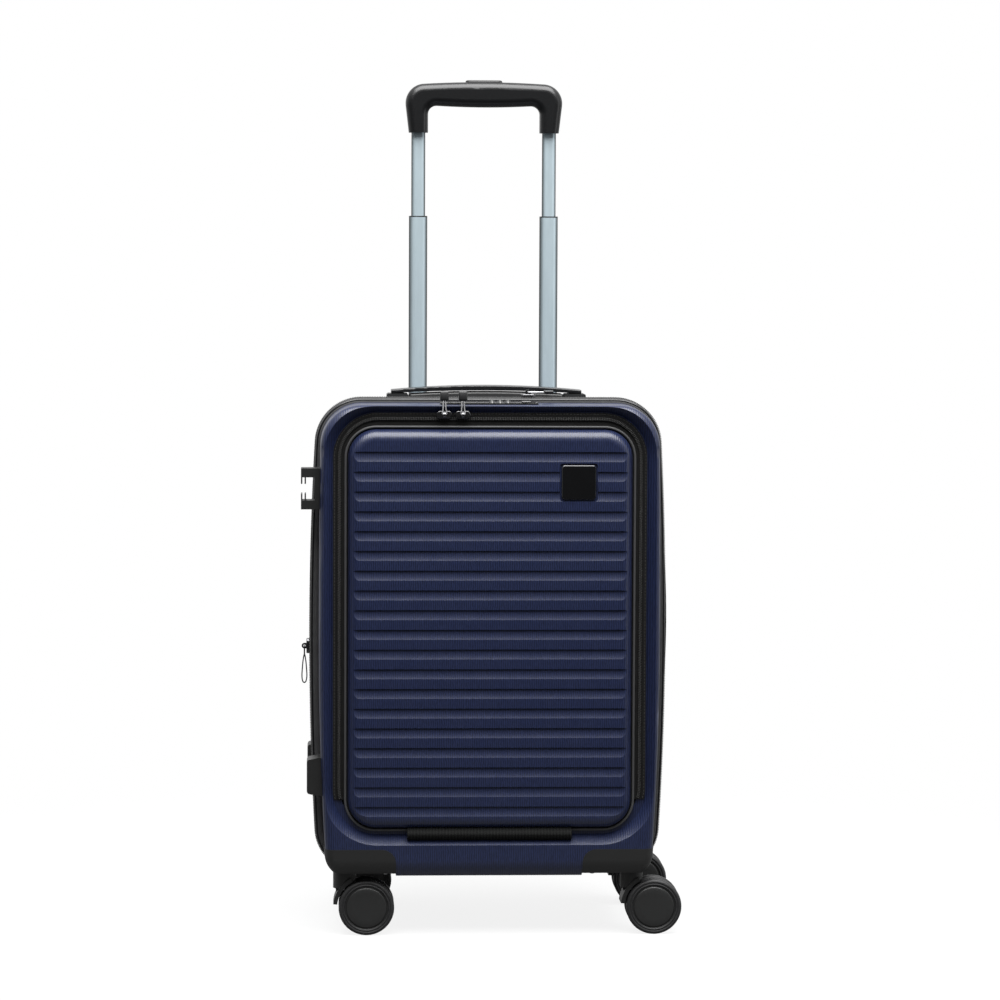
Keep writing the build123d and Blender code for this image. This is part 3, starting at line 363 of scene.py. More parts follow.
@recipe
def webbing_cloth(colours):
    """Webbing: ribs across its length, and finer threads along it."""
    made = Finish("Ribbed webbing", colours.webbing, 0.82, Specular_IOR_Level=0.2)
    spot = made.place(source="UV")
    ribs = made.ribs(spot, 0.0032, "X")
    threads = made.ribs(spot, 0.0011, "Y", 0.6)
    both = made.mixed(ribs, made.mixed(threads, ribs), "ADD")
    return made.tint(both, 0.45, 1.75, 0.2, 1.6).relief(both, 0.0003, 0.8)


@recipe
def piping_cord(colours):
    """Piping: a smooth covered cord."""
    made = Finish("Piping", colours.piping, 0.55)
    twist = made.ribs(made.place(source="UV"), 0.0012, "DIAGONAL")
    return made.tint(twist, 0.88, 1.12).relief(twist, 0.00005, 0.5)


@recipe
def glossy_cord(colours):
    """Cord along the belt's front edge: smooth and black."""
    made = Finish("Glossy cord", colours.soft_black, 0.22)
    twist = made.ribs(made.place(source="UV"), 0.0020, "DIAGONAL")
    return made.tint(twist, 0.85, 1.15).polish(twist, 0.18, 0.26)


@recipe
def sewing_thread(colours):
    """Thread of the stitches, a little lighter than the cloth."""
    made = Finish("Sewing thread", shaded(colours.tape, 5.0), 0.7)
    return made.tint(made.ribs(made.place(), 0.0005, "DIAGONAL"), 0.75, 1.2)


@recipe
def anodised_tube(colours):
    """Drawn aluminium tube with fine lines along it, with painted shade that darkens it where it turns to
    the sides.
    """
    made = Finish("Anodised tube", colours.alloy, 0.36, Metallic=0.55)
    lines = made.noise(made.place((1.0, 1.0, 0.004)), 0.0004, 2.0)
    cloud = made.noise(made.place((1.0, 1.0, 0.2)), 0.006)
    # Painted shade: the colour darkens as the surface's normal turns towards the sides
    side = made.node("ShaderNodeSeparateXYZ")
    made.link(made.node("ShaderNodeTexCoord").outputs["Normal"], side.inputs["Vector"])
    edge = made.node("ShaderNodeMath", operation="ABSOLUTE")
    made.link(side.outputs["X"], edge.inputs[0])
    made.tint(edge.outputs["Value"], 1.0, 0.06, 0.40, 0.90)
    return made.tint(cloud, 0.92, 1.08).polish(lines, 0.28, 0.44).relief(lines, 0.00003, 0.4)


@recipe
def tyre_rubber(colours):
    """Rolling rim, scuffed a little on its tread."""
    made = Finish("Tyre", colours.tyre, 0.52)
    scuffs = made.noise(made.place(), 0.003, 4.0)
    return made.tint(scuffs, 0.85, 1.25, 0.35, 0.7).polish(scuffs, 0.44, 0.62).relief(scuffs, 0.00005, 0.4)


@recipe
def zip_coil(colours):
    """Nylon coil of the zips."""
    return clouded("Zip coil", shaded(colours.tape, 3.4), 0.38, 0.002, (0.85, 1.2), (0.36, 0.5))


@recipe
def bright_steel(colours):
    """Turned steel of pins, axles and screws."""
    shades, gloss, stretch = (0.85, 1.1), (0.22, 0.4), (0.2, 0.2, 1.0)
    return clouded("Bright steel", colours.steel, 0.28, 0.0006, shades, gloss, stretch, Metallic=1.0)


@recipe
def black_nickel(colours):
    """Plated sliders and pullers."""
    return clouded("Black nickel", colours.nickel, 0.26, 0.004, (0.88, 1.12), (0.2, 0.34), Metallic=1.0)


@recipe
def gloss_black(colours):
    """Bare badge plate: lacquered black."""
    black = shaded(colours.soft_black, 0.75)
    return clouded("Gloss black", black, 0.10, 0.02, (0.9, 1.1), (0.07, 0.13), Coat_Weight=0.6)


@recipe
def lock_plastic(colours):
    """Glossy lock plate and button."""
    black = shaded(colours.charcoal, 1.1)
    return clouded("Lock gloss", black, 0.16, 0.0015, (0.9, 1.1), (0.13, 0.20), Coat_Weight=0.6)


@recipe
def dial_white(colours):
    """Paint in the dials' figures."""
    return clouded("Dial figures", (0.68, 0.68, 0.66), 0.5, 0.001, (0.92, 1.05))


@recipe
def cap_plastic(colours):
    """Wheel caps, dials and the bases of the carry handles; on the bases its lighter tone is partly a
    painted reflection.
    """
    return clouded("Wheel cap", shaded(colours.charcoal, 1.7), 0.36, 0.002, (0.9, 1.12), (0.31, 0.42))


# Lines that the sewn work follows
def arc(centre, radius, start, end, steps):
    """Points on an arc, from one angle to another."""
    turns = [start + (end - start) * i / steps for i in range(steps + 1)]
    return [(centre[0] + radius * math.cos(a), centre[1] + radius * math.sin(a)) for a in turns]


def outline(half, low, high, low_corner, high_corner, bow=0.0, middle=None):
    """Closed outline seen from the front, against the clock, with rounded corners and bowed sides."""
    centre = (low + high) / 2.0
    if bow:
        lift = (low - centre) ** 2 - ((middle or centre) - centre) ** 2
        reach = (lift + bow**2) / (2.0 * bow)
        swell = math.hypot(reach, (middle or centre) - centre)
        swell_x = half - reach
    right = [(0.0, low)]
    ends = []
    for level, radius in ((low + low_corner, low_corner), (high - high_corner, high_corner)):
        if bow:
            across = swell_x + math.sqrt((swell - radius) ** 2 - (level - centre) ** 2)
            ends.append((across, level, math.atan2(level - centre, across - swell_x)))
        else:
            ends.append((half - radius, level, 0.0))
    quarter = math.pi / 2.0
    right += arc(ends[0][:2], low_corner, -quarter, ends[0][2], 24)
    if bow:
        right += arc((swell_x, centre), swell, ends[0][2], ends[1][2], 40)[1:-1]
    right += arc(ends[1][:2], high_corner, ends[1][2], quarter, 24)
    right.append((0.0, high))
    left = [(-x, z) for x, z in reversed(right[1:-1])]
    return [Vector((x, 0.0, z)) for x, z in right + left]


def even(points, spacing):
    """The same closed line with points an equal distance apart."""
    line = points + points[:1]
    lengths = walked(points)
    count = max(2, round(lengths[-1] / spacing))
    made = []
    place = 0
    for i in range(count):
        target = lengths[-1] * i / count
        while place < len(line) - 2 and lengths[place + 1] < target:
            place += 1
        stretch = lengths[place + 1] - lengths[place]
        share = (target - lengths[place]) / stretch if stretch else 0.0
        made.append(line[place].lerp(line[place + 1], min(1.0, share)))
    return made


def walked(points):
    """Distance walked along a closed line up to each point, and all the way round at the end."""
    made = [0.0]
    for before, after in zip(points, points[1:] + points[:1]):
        made.append(made[-1] + (after - before).length)
    return made


def outwards(points):
    """Direction that points away from the middle at each point of a closed front view line."""
    steps = [points[(i + 1) % len(points)] - points[i - 1] for i in range(len(points))]
    return [Vector((along.z, 0.0, -along.x)).normalized() for along in steps]


def shifted(points, away, out, depth):
    """The line moved outwards and put at a depth."""
    return [Vector((p.x + a.x * out, depth, p.z + a.z * out)) for p, a in zip(points, away)]


def upper_part(points, floor):
    """The open stretch of a closed line that lies above a height, in order."""
    start = next((i for i, p in enumerate(points) if p.z >= floor and points[i - 1].z < floor), 0)
    turned = points[start:] + points[:start]
    return [p for p in turned if p.z >= floor]


# Objects and meshes
def placed(name, data):
    """A new object in the scene."""
    made = bpy.data.objects.new(name, data)
    bpy.context.scene.collection.objects.link(made)
    return made


def plain_mesh(holder):
    """What an object comes out as, as a plain mesh; the object is removed."""
    view = bpy.context.evaluated_depsgraph_get()
    mesh = bpy.data.meshes.new_from_object(holder.evaluated_get(view), depsgraph=view)
    holder.modifiers.clear()
    data = holder.data
    bpy.data.objects.remove(holder)
    store = bpy.data.meshes if isinstance(data, bpy.types.Mesh) else bpy.data.curves
    store.remove(data)
    return mesh


def sculpted(name, work):
    """Mesh of finished bmesh work."""
    mesh = bpy.data.meshes.new(name)
    work.to_mesh(mesh)
    work.free()
    return mesh


def smooth_line(name, route, closed=False):
    """Smooth curve that a route of points pulls into shape."""
    curve = bpy.data.curves.new(name, "CURVE")
    curve.dimensions = "3D"
    spline = curve.splines.new("NURBS")
    spline.points.add(len(route) - 1)
    for point, place in zip(spline.points, route):
        point.co = (*place, 1.0)
    spline.use_cyclic_u = closed
    spline.order_u = 3
    spline.use_endpoint_u = not closed
    spline.resolution_u = 6
    return placed(name, curve)


def wire(name, route, radius):
    """Round wire along a closed, rounded route."""
    line = smooth_line(name, route, closed=True)
    line.data.bevel_depth = radius
    line.data.bevel_resolution = 3
    mesh = plain_mesh(line)
    mesh.materials.clear()
    mesh.shade_smooth()
    return mesh


def solid(name, vertices, faces, uvs=None):
    """Closed mesh with faces that point outwards, smooth shaded."""
    mesh = bpy.data.meshes.new(name)
    mesh.from_pydata(vertices, [], faces)
    if uvs:
        layer = mesh.uv_layers.new(name="Length and width")
        for loop, uv in zip(layer.data, uvs):
            loop.uv = uv
    work = bmesh.new()
    work.from_mesh(mesh)
    bmesh.ops.recalc_face_normals(work, faces=work.faces)
    work.to_mesh(mesh)
    work.free()
    mesh.shade_smooth()
    return mesh


def lofted(name, rings, lengths, girths, closed):
    """Skin over rings of points; lengths along it and girths round it are its UV map."""
    count = len(rings[0])
    total = len(rings)
    faces = []
    uvs = []
    for i in range(total if closed else total - 1):
        n = (i + 1) % total
        for j in range(count):
            k = (j + 1) % count
            faces.append((i * count + j, i * count + k, n * count + k, n * count + j))
            near, far = lengths[i], lengths[i + 1]
            uvs += [(near, girths[j]), (near, girths[j + 1]), (far, girths[j + 1]), (far, girths[j])]
    if not closed:
        for ring in (0, total - 1):
            faces.append(tuple(ring * count + j for j in range(count)))
            uvs += [(lengths[ring], girths[j]) for j in range(count)]
    return solid(name, [point for ring in rings for point in ring], faces, uvs)


def swept(name, points, away, section):
    """A section of (out, depth) pairs carried round a closed front view line."""
    rings = []
    for point, out in zip(points, away):
        rings.append([point + out * a + Vector((0.0, b, 0.0)) for a, b in section])
    girths = [0.0]
    for (a, b), (c, d) in zip(section, section[1:] + section[:1]):
        girths.append(girths[-1] + math.hypot(c - a, d - b))
    return lofted(name, rings, walked(points), girths, closed=True)


def round_section(radius):
    """Section of a round cord."""
    turns = [math.pi * i / 6.0 for i in range(12)]
    return [(radius * math.cos(a), radius * math.sin(a)) for a in turns]


def turned(name, hub, profile, segments):
    """Lathe work about an axis along Y through the hub, from (radius, depth) pairs."""
    vertices = []
    rings = []
    for radius, depth in profile:
        if radius == 0.0:
            rings.append([len(vertices)] * segments)
            vertices.append(hub + Vector((0.0, depth, 0.0)))
            continue
        rings.append(list(range(len(vertices), len(vertices) + segments)))
        for i in range(segments):
            a = 2.0 * math.pi * i / segments
            vertices.append(hub + Vector((radius * math.cos(a), depth, radius * math.sin(a))))
    faces = []
    bands = []
    for band, (inner, outer) in enumerate(zip(rings, rings[1:])):
        for i in range(segments):
            k = (i + 1) % segments
            corner = [inner[i], inner[k], outer[k], outer[i]]
            faces.append(tuple(dict.fromkeys(corner)))
            bands.append(band)
    return solid(name, vertices, faces), bands


def bar(length, radius, bend=0.0, slant=0.0, sides=6, steps=4):
    """Small rounded bar across local Y that arches up by bend, for teeth and stitches."""
    vertices = []
    for i in range(steps + 1):
        share = i / steps
        taper = 1.0 if 0 < i < steps else 0.55
        centre = Vector((slant * (share - 0.5), (share - 0.5) * length, bend * math.sin(math.pi * share)))
        for j in range(sides):
            a = 2.0 * math.pi * j / sides
            around = Vector((radius * taper * math.cos(a), 0.0, radius * taper * math.sin(a)))
            vertices.append(centre + around)
    faces = [
        (i * sides + j, i * sides + (j + 1) % sides, (i + 1) * sides + (j + 1) % sides, (i + 1) * sides + j)
        for i in range(steps)
        for j in range(sides)
    ]
    faces += [tuple(range(sides)), tuple(range(steps * sides, (steps + 1) * sides))]
    return solid("Bar", vertices, faces)


def screw_head(radius):
    """Domed screw head with a round recess."""
    work = bmesh.new()
    bmesh.ops.create_cone(
        work, cap_ends=True, segments=24, radius1=radius, radius2=radius * 0.82, depth=radius * 0.5
    )
    bmesh.ops.translate(work, verts=work.verts, vec=(0.0, 0.0, radius * 0.2))
    top = max(work.faces, key=lambda face: face.calc_center_median().z)
    for inset, lift in ((0.18, 0.06), (0.26, -0.22)):
        bmesh.ops.inset_individual(work, faces=[top], thickness=radius * inset)
        bmesh.ops.translate(work, verts=top.verts, vec=(0.0, 0.0, radius * lift))
    return sculpted("Screw head", work)


def piece(name, mesh, body, slot, material, *replaced):
    """Puts a mesh into the scene as a piece that rides on a body."""
    made = placed(name.lower().replace(" ", "_"), mesh)
    if not mesh.materials:
        mesh.materials.append(finish(material))
    if body:
        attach(made, body)
    if replaced:
        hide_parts(*replaced)
    return made


# Geometry Nodes trees: a row along a seam, and single pieces on spots
def socket(tree, name, kind, default=None):
    """Adds a named input to a tree."""
    made = tree.interface.new_socket(name=name, in_out="INPUT", socket_type=kind)
    if default is not None:
        made.default_value = default
    return made.identifier


def scatter_tree(name, along):
    """Tree that sets one shape, facing as an attribute says, along a resampled seam or on spots."""
    tree = bpy.data.node_groups.new(name, "GeometryNodeTree")
    inputs = {
        "Line": socket(tree, "Line", "NodeSocketGeometry"),
        "Shape": socket(tree, "Shape", "NodeSocketObject"),
        "Spacing": socket(tree, "Spacing", "NodeSocketFloat", 0.002),
        "Finish": socket(tree, "Finish", "NodeSocketMaterial"),
    }
    tree.interface.new_socket(name="Row", in_out="OUTPUT", socket_type="NodeSocketGeometry")
    nodes = tree.nodes
    start = nodes.new("NodeGroupInput")
    end = nodes.new("NodeGroupOutput")
    shape = nodes.new("GeometryNodeObjectInfo")
    facing = nodes.new("GeometryNodeInputNamedAttribute")
    facing.data_type = "FLOAT_VECTOR"
    facing.inputs["Name"].default_value = "facing"
    upright = nodes.new("FunctionNodeAlignRotationToVector")
    upright.axis = "Z"
    setting = nodes.new("GeometryNodeInstanceOnPoints")
    real = nodes.new("GeometryNodeRealizeInstances")
    coat = nodes.new("GeometryNodeSetMaterial")
    join = tree.links.new
    points = start.outputs["Line"]
    if along:
        curve = nodes.new("GeometryNodeMeshToCurve")
        resample = nodes.new("GeometryNodeResampleCurve")
        resample.mode = "LENGTH"
        tangent = nodes.new("GeometryNodeInputTangent")
        ahead = nodes.new("FunctionNodeAlignRotationToVector")
        ahead.axis = "X"
        upright.pivot_axis = "X"
        join(points, curve.inputs["Mesh"])
        join(curve.outputs["Curve"], resample.inputs["Curve"])
        join(start.outputs["Spacing"], resample.inputs["Length"])
        join(tangent.outputs["Tangent"], ahead.inputs["Vector"])
        join(ahead.outputs["Rotation"], upright.inputs["Rotation"])
        points = resample.outputs["Curve"]
    join(start.outputs["Shape"], shape.inputs["Object"])
    join(facing.outputs["Attribute"], upright.inputs["Vector"])
    join(points, setting.inputs["Points"])
    join(shape.outputs["Geometry"], setting.inputs["Instance"])
    join(upright.outputs["Rotation"], setting.inputs["Rotation"])
    join(setting.outputs["Instances"], real.inputs["Geometry"])
    join(real.outputs["Geometry"], coat.inputs["Geometry"])
    join(start.outputs["Finish"], coat.inputs["Material"])
    join(coat.outputs["Geometry"], end.inputs["Row"])
    return tree, inputs


TREES = {}


def scattered(name, points, facings, shape, material, spacing=None, closed=False):
    """Plain mesh of one shape repeated along a line, or set on each point where no spacing is given."""
    along = spacing is not None
    key = "Row along a seam" if along else "Pieces on spots"
    if key not in TREES:
        TREES[key] = scatter_tree(key, along)
    tree, inputs = TREES[key]
    count = len(points)
    edges = [(i, i + 1) for i in range(count - 1)] if along else []
    if along and closed:
        edges.append((count - 1, 0))
    mesh = bpy.data.meshes.new(name)
    mesh.from_pydata(points, edges, [])
    attribute = mesh.attributes.new("facing", "FLOAT_VECTOR", "POINT")
    for entry, facing in zip(attribute.data, facings):
        entry.vector = facing
    pattern = bpy.data.objects.new(name + " shape", shape)
    line = placed(name, mesh)
    modifier = line.modifiers.new("Row", "NODES")
    modifier.node_group = tree
    modifier[inputs["Shape"]] = pattern
    modifier[inputs["Finish"]] = finish(material)
    if along:
        modifier[inputs["Spacing"]] = spacing
    row = plain_mesh(line)
    bpy.data.objects.remove(pattern)
    row.name = name
    if not row.polygons:
        raise RuntimeError(f"{name}: the row came out empty")
    if "facing" in row.attributes:
        row.attributes.remove(row.attributes["facing"])
    row.shade_smooth()
    return row


def tooth():
    """One tooth of a zip coil."""
    sewing = bpy.context.scene.suitcase_sewing
    return bar(sewing.tooth_reach, 0.00046, bend=0.0005, slant=0.0005)


def stitch():
    """One stitch along the seam."""
    sewing = bpy.context.scene.suitcase_sewing
    mesh = bar(sewing.stitch_length, sewing.thread, bend=0.00012)
    mesh.transform(Matrix.Rotation(math.radians(-90.0), 4, "Z"))
    return mesh


# Operators
class SUITCASE_OT_dress_shells(bpy.types.Operator):
    """Gives the shells, the ribbed panel and the bare badge plate their finishes"""

    bl_idname = "suitcase.dress_shells"
    bl_label = "Dress shells"

    def execute(self, context):
        paint("navy_shell", "front_shell", "rear_shell", "front_panel")
        paint("gloss_black", "badge_plate")
        return {"FINISHED"}


class SUITCASE_OT_sew_pocket_zip(bpy.types.Operator):
    """Sews the pocket zip: tapes, coil teeth, stitch rows and the piping round the panel"""

    bl_idname = "suitcase.sew_pocket_zip"
    bl_label = "Sew pocket zip"

    def execute(self, context):
        sizes = context.scene.suitcase_outline
        sewing = context.scene.suitcase_sewing
        paint("tape_cloth", "pocket_zip_frame", "pocket_zip_panel")
        half = FRAME_TAPE_HIGH.x + sizes.recess_margin
        top = FRAME_TAPE_HIGH.z + sizes.recess_margin
        edge = outline(half, sizes.recess_floor_low, top, sizes.recess_corner, sizes.recess_corner)
        end = FRAME_TAPE_LOW.z + 0.001
        lid_front = FRAME_TAPE_LOW.y
        panel_front = lid_front - 0.0003
        tape_front = lid_front + 0.0012
        coil = (tooth(), sewing.tooth_pitch, "zip_coil")
        seam = (stitch(), sewing.stitch_pitch, "sewing_thread")
        # Name, body, way in from the recess's edge, depth, start in pitches, and the row's shape
        rows = (
            ("Lid zip teeth", "front_half", -0.0063, lid_front, 0.0, coil),
            ("Panel zip teeth", "panel", -0.0077, panel_front, 0.5, coil),
            ("Lid tape stitches", "front_half", -0.0022, tape_front, 0.0, seam),
        )
        forward = Vector((0.0, -1.0, 0.0))
        for name, body, inset, depth, offset, (shape, pitch, material) in rows:
            line = even(edge, pitch / 4.0)
            line = shifted(line, outwards(line), inset, depth)
            line = upper_part(line, end + offset * pitch)
            mesh = scattered(name, line, [forward] * len(line), shape, material, pitch)
            piece(name, mesh, body, "belt", material)
        corner = sizes.panel_corner
        line = even(outline(PANEL_HIGH.x, PANEL_LOW.z, PANEL_HIGH.z, corner, corner), 0.0025)
        away = outwards(line)
        cord = shifted(line, away, 0.0025, PANEL_TAPE_LOW.y + 0.0006)
        mesh = swept("Panel piping", cord, away, round_section(sewing.piping_radius))
        piece("Panel piping", mesh, "panel", "belt", "piping_cord")
        return {"FINISHED"}


class SUITCASE_OT_fold_webbing(bpy.types.Operator):
    """Folds the ribbed webbing that hinges the panel to the lid"""

    bl_idname = "suitcase.fold_webbing"
    bl_label = "Fold webbing"

    def execute(self, context):
        hinge = next(joint for joint in frame["joints"] if joint["name"] == "panel_hinge")
        axis = Vector(hinge["pos_m"])
        half = WEBBING_HIGH.x
        thick = 0.0013
        ridge_height = 0.00016
        # How far back from the hinge and how far above it the fold runs
        fold = (
            (0.0070, 0.0072),
            (0.0036, 0.0048),
            (0.0008, 0.0022),
            (0.0000, -0.0004),
            (0.0012, -0.0030),
            (0.0042, -0.0052),
            (0.0076, -0.0068),
        )
        route = [Vector((0.0, axis.y + back, axis.z + up)) for back, up in fold]
        path = plain_mesh(smooth_line("Webbing route", route))
        line = [vertex.co.copy() for vertex in path.vertices]
        bpy.data.meshes.remove(path)
        front = []
        back = []
        for i, place in enumerate(line):
            along = line[min(i + 1, len(line) - 1)] - line[max(i - 1, 0)]
            face = Vector((0.0, along.z, -along.y)).normalized()
            ridge = ridge_height * math.cos(2.0 * math.pi * i / 3.0)
            front.append(place + face * (thick / 2.0 + ridge))
            back.append(place - face * thick / 2.0)
        loop = front + back[::-1]
        columns = [-half + 2.0 * half * i / 60 for i in range(61)]
        rings = [[Vector((x, p.y, p.z)) for p in loop] for x in columns]
        mesh = lofted("Hinge webbing", rings, columns, walked(loop), closed=False)
        strip = piece("Hinge webbing", mesh, None, "belt", "webbing_cloth", "panel_hinge_webbing")
        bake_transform(strip)
        return {"FINISHED"}


class SUITCASE_OT_sew_belt(bpy.types.Operator):
    """Sews the belt between the shells: bands, cord, main zip, expander zip and stitches"""

    bl_idname = "suitcase.sew_belt"
    bl_label = "Sew belt"

    def execute(self, context):
        sizes = context.scene.suitcase_outline
        sewing = context.scene.suitcase_sewing
        middle = (SHELL_LOW.z + SHELL_HIGH.z) / 2.0
        half, low, high = GUSSET_HIGH.x, GUSSET_LOW.z, GUSSET_HIGH.z
        belt = outline(half, low, high, sizes.belt_low_corner, sizes.belt_top_corner, sizes.belt_bow, middle)
        line = even(belt, 0.004)
        away = outwards(line)
        deep = -0.0105
        # Name, body, depth at the zip, depth at the shell, and the solid that the band replaces
        bands = (
            ("Gusset", "rear_half", GUSSET_LOW.y, GUSSET_HIGH.y, "main_gusset"),
            ("Lid band", "front_half", LID_BAND_HIGH.y, LID_BAND_LOW.y, "main_zip_front"),
        )
        for name, body, seam, rim, node in bands:
            side = 1.0 if rim > seam else -1.0
            rounding = 0.0060 if abs(rim - seam) > 0.010 else 0.0055
            section = [(deep, seam), (-0.0010, seam)]
            section += [(-0.0003, seam + side * 0.0005), (0.0, seam + side * 0.0013)]
            for i in range(7):
                a = math.pi / 2.0 * i / 6.0
                out = -rounding * (1.0 - math.cos(a))
                section.append((out, rim - side * rounding * (1.0 - math.sin(a))))
            section.append((deep, rim))
            piece(name, swept(name, line, away, section), body, "belt", "belt_cloth", node)
        cord = shifted(line, away, -0.0021, LID_BAND_LOW.y + 0.0021)
        mesh = swept("Belt cord", cord, away, round_section(0.0015))
        piece("Belt cord", mesh, "front_half", "belt", "glossy_cord")
        swing = next(joint for joint in frame["joints"] if joint["name"] == "expander_puller_swing")
        coil = (tooth, sewing.tooth_pitch, "zip_coil")
        sewn = (stitch, sewing.stitch_pitch, "sewing_thread")
        # Name, body, depth, way out from the belt, and the row's shape
        seams = (
            ("Main zip rear teeth", "rear_half", GUSSET_LOW.y + 0.0006, 0.0001, coil),
            ("Main zip lid teeth", "front_half", LID_BAND_HIGH.y - 0.0006, 0.0001, coil),
            ("Expander zip teeth", "rear_half", swing["pos_m"][1], 0.0, coil),
            ("Gusset stitches", "rear_half", GUSSET_LOW.y + 0.0052, 0.00005, sewn),
            ("Gusset far stitches", "rear_half", GUSSET_LOW.y + 0.0070, 0.00005, sewn),
        )
        for name, body, depth, out, (shape, pitch, material) in seams:
            seam = even(belt, pitch / 2.0)
            facing = outwards(seam)
            path = shifted(seam, facing, out, depth)
            mesh = scattered(name, path, facing, shape(), material, pitch, closed=True)
            piece(name, mesh, body, "belt", material)
        return {"FINISHED"}


class SUITCASE_OT_fit_wheels(bpy.types.Operator):
    """Turns the eight wheels with their tyres and caps"""

    bl_idname = "suitcase.fit_wheels"
    bl_label = "Fit wheels"

    def execute(self, context):
        cap = ((0.0, 0.0109), (0.0130, 0.0109), (0.0192, 0.0106), (0.0202, 0.0101), (0.0205, 0.0093))
        ring = ((0.0218, 0.0093), (0.0220, 0.0104), (0.0224, 0.0109), (0.0234, 0.0109), (0.0237, 0.0104))
        wall = ((0.0242, 0.0104), (0.0245, 0.0109), (0.0258, 0.0107), (0.0270, 0.0100), (0.0277, 0.0089))
        tread = ((0.0280, 0.0074), (0.0280, 0.0040), (0.0277, 0.0026), (0.0269, 0.0014), (0.0256, 0.0007))
        back = ((0.0240, 0.0005), (0.0120, 0.0005), (0.0120, 0.0))
        bore = ((0.0031, 0.0), (0.0031, 0.0094), (0.0, 0.0094))
        section = cap + ring + wall + tread + back + bore
        for caster in CASTERS:
            for letter, side in (("a", -1.0), ("b", 1.0)):
                node = f"{caster}_wheel_{letter}"
                low, high = corners(node)
                hub = (low + high) / 2.0
                hub.y = high.y if side < 0.0 else low.y
                profile = [(radius, side * depth) for radius, depth in section]
                mesh, bands = turned(node.replace("_", " "), hub, profile, 72)
                mesh.materials.append(finish("tyre_rubber"))
                mesh.materials.append(finish("cap_plastic"))
                for face, band in zip(mesh.polygons, bands):
                    face.material_index = 1 if band < len(cap) else 0
                piece(f"{caster} wheel {letter}", mesh, node, "wheel", "tyre_rubber", node)
        return {"FINISHED"}


class SUITCASE_OT_dress_casters(bpy.types.Operator):
    """Finishes the wheel housings, forks, kingpins and axles"""

    bl_idname = "suitcase.dress_casters"
    bl_label = "Dress casters"

    def execute(self, context):
        paint("charcoal_plastic", "front_wheel_housings", "rear_wheel_housings")
        paint("charcoal_plastic", *[f"{caster}_fork" for caster in CASTERS])
        paint("bright_steel", "front_kingpins", "rear_kingpins", *[f"{caster}_axle" for caster in CASTERS])
        return {"FINISHED"}


class SUITCASE_OT_dress_trolley(bpy.types.Operator):
    """Finishes the trolley's tubes, collars, grip, button and bezel"""

    bl_idname = "suitcase.dress_trolley"
    bl_label = "Dress trolley"

    def execute(self, context):
        paint("anodised_tube", "outer_tubes", "middle_tubes", "inner_tubes")
        paint("charcoal_plastic", "tube_collars", "trolley_bezel", "trolley_base", "grip_button")
        paint("soft_grip", "grip")
        return {"FINISHED"}


class SUITCASE_OT_dress_handles(bpy.types.Operator):
    """Finishes the carry handles and their brackets, and adds the bases under their straps"""

    bl_idname = "suitcase.dress_handles"
    bl_label = "Dress carry handles"

    def execute(self, context):
        paint("soft_grip", "top_carry_handle", "side_carry_handle")
        paint("charcoal_plastic", "top_handle_brackets", "side_handle_brackets")
        across, up = Vector((1.0, 0.0, 0.0)), Vector((0.0, 0.0, 1.0))
        self.based("top", across, up)
        self.based("side", up, across)
        return {"FINISHED"}

    def based(self, side, along, out):
        """A crowned base on the shell between the brackets, just clear of the strap above it."""
        strap_room = 0.0061
        sunk = 0.0092
        bracket_room = 0.0226
        side_margin = 0.0025
        rim_radius = 0.0026
        low, high = corners(f"{side}_handle_brackets")
        crest = corners(f"{side}_carry_handle")[1].dot(out)
        end = high.dot(out)
        middle = crest - strap_room
        seat = end - sunk
        reach = (high - low).dot(along) / 2.0 - bracket_room
        half = (high - low).y / 2.0 - side_margin
        centre = (low + high) / 2.0
        centre -= out * centre.dot(out)
        steps = 24
        profile = [(-reach, seat), (reach, seat)]
        for step in range(steps + 1):
            share = 1.0 - 2.0 * step / steps
            profile.append((reach * share, middle + (end - middle) * share**2))
        count = len(profile)
        vertices = []
        for y in (-half, half):
            vertices += [centre + along * u + out * v + Vector((0.0, y, 0.0)) for u, v in profile]
        faces = [tuple(range(count)), tuple(range(count, 2 * count))]
        for first in range(count):
            second = (first + 1) % count
            faces.append((first, second, second + count, first + count))
        mesh = solid(f"{side} handle base", vertices, faces)
        work = bmesh.new()
        work.from_mesh(mesh)
        corner_edges = [edge for edge in work.edges if edge.calc_face_angle() > 1.0]
        rims = [edge for edge in corner_edges if min(v.co.dot(out) for v in edge.verts) > seat]
        bmesh.ops.bevel(work, geom=rims, offset=rim_radius, segments=4, affect="EDGES", profile=0.5)
        bmesh.ops.recalc_face_normals(work, faces=work.faces)
        work.to_mesh(mesh)
        work.free()
        mesh.shade_smooth()
        mesh.set_sharp_from_angle(angle=math.radians(40.0))
        # The lighter cap plastic on the base is partly a painted reflection of the light above it
        piece(f"{side} handle base", mesh, "rear_half", "trim_black", "cap_plastic")


class SUITCASE_OT_dress_lock(bpy.types.Operator):
    """Finishes the combination lock and puts plain figures round its dials"""

    bl_idname = "suitcase.dress_lock"
    bl_label = "Dress lock"

    def execute(self, context):
        paint("lock_plastic", "lock_case", "lock_button")
        for number in (1, 2, 3):
            node = f"lock_dial_{number}"
            paint("cap_plastic", node)
            low, high = corners(node)
            centre = (low + high) / 2.0
            out = Matrix.Translation((0.0, 0.0, (high.z - low.z) / 2.0))
            figures = bmesh.new()
            for figure in range(10):
                curve = bpy.data.curves.new("Figure", "FONT")
                curve.body = str(figure)
                curve.size = 0.0036
                curve.align_x = "CENTER"
                curve.align_y = "CENTER"
                curve.extrude = 0.00012
                curve.resolution_u = 3
                mesh = plain_mesh(placed("Figure", curve))
                roll = Matrix.Rotation(math.radians(36.0 * figure), 4, "X")
                mesh.transform(Matrix.Translation(centre) @ roll @ out)
                figures.from_mesh(mesh)
                bpy.data.meshes.remove(mesh)
            joined = sculpted(f"Dial {number} figures", figures)
            joined.materials.clear()
            piece(f"Dial {number} figures", joined, node, "lock", "dial_white")
        return {"FINISHED"}


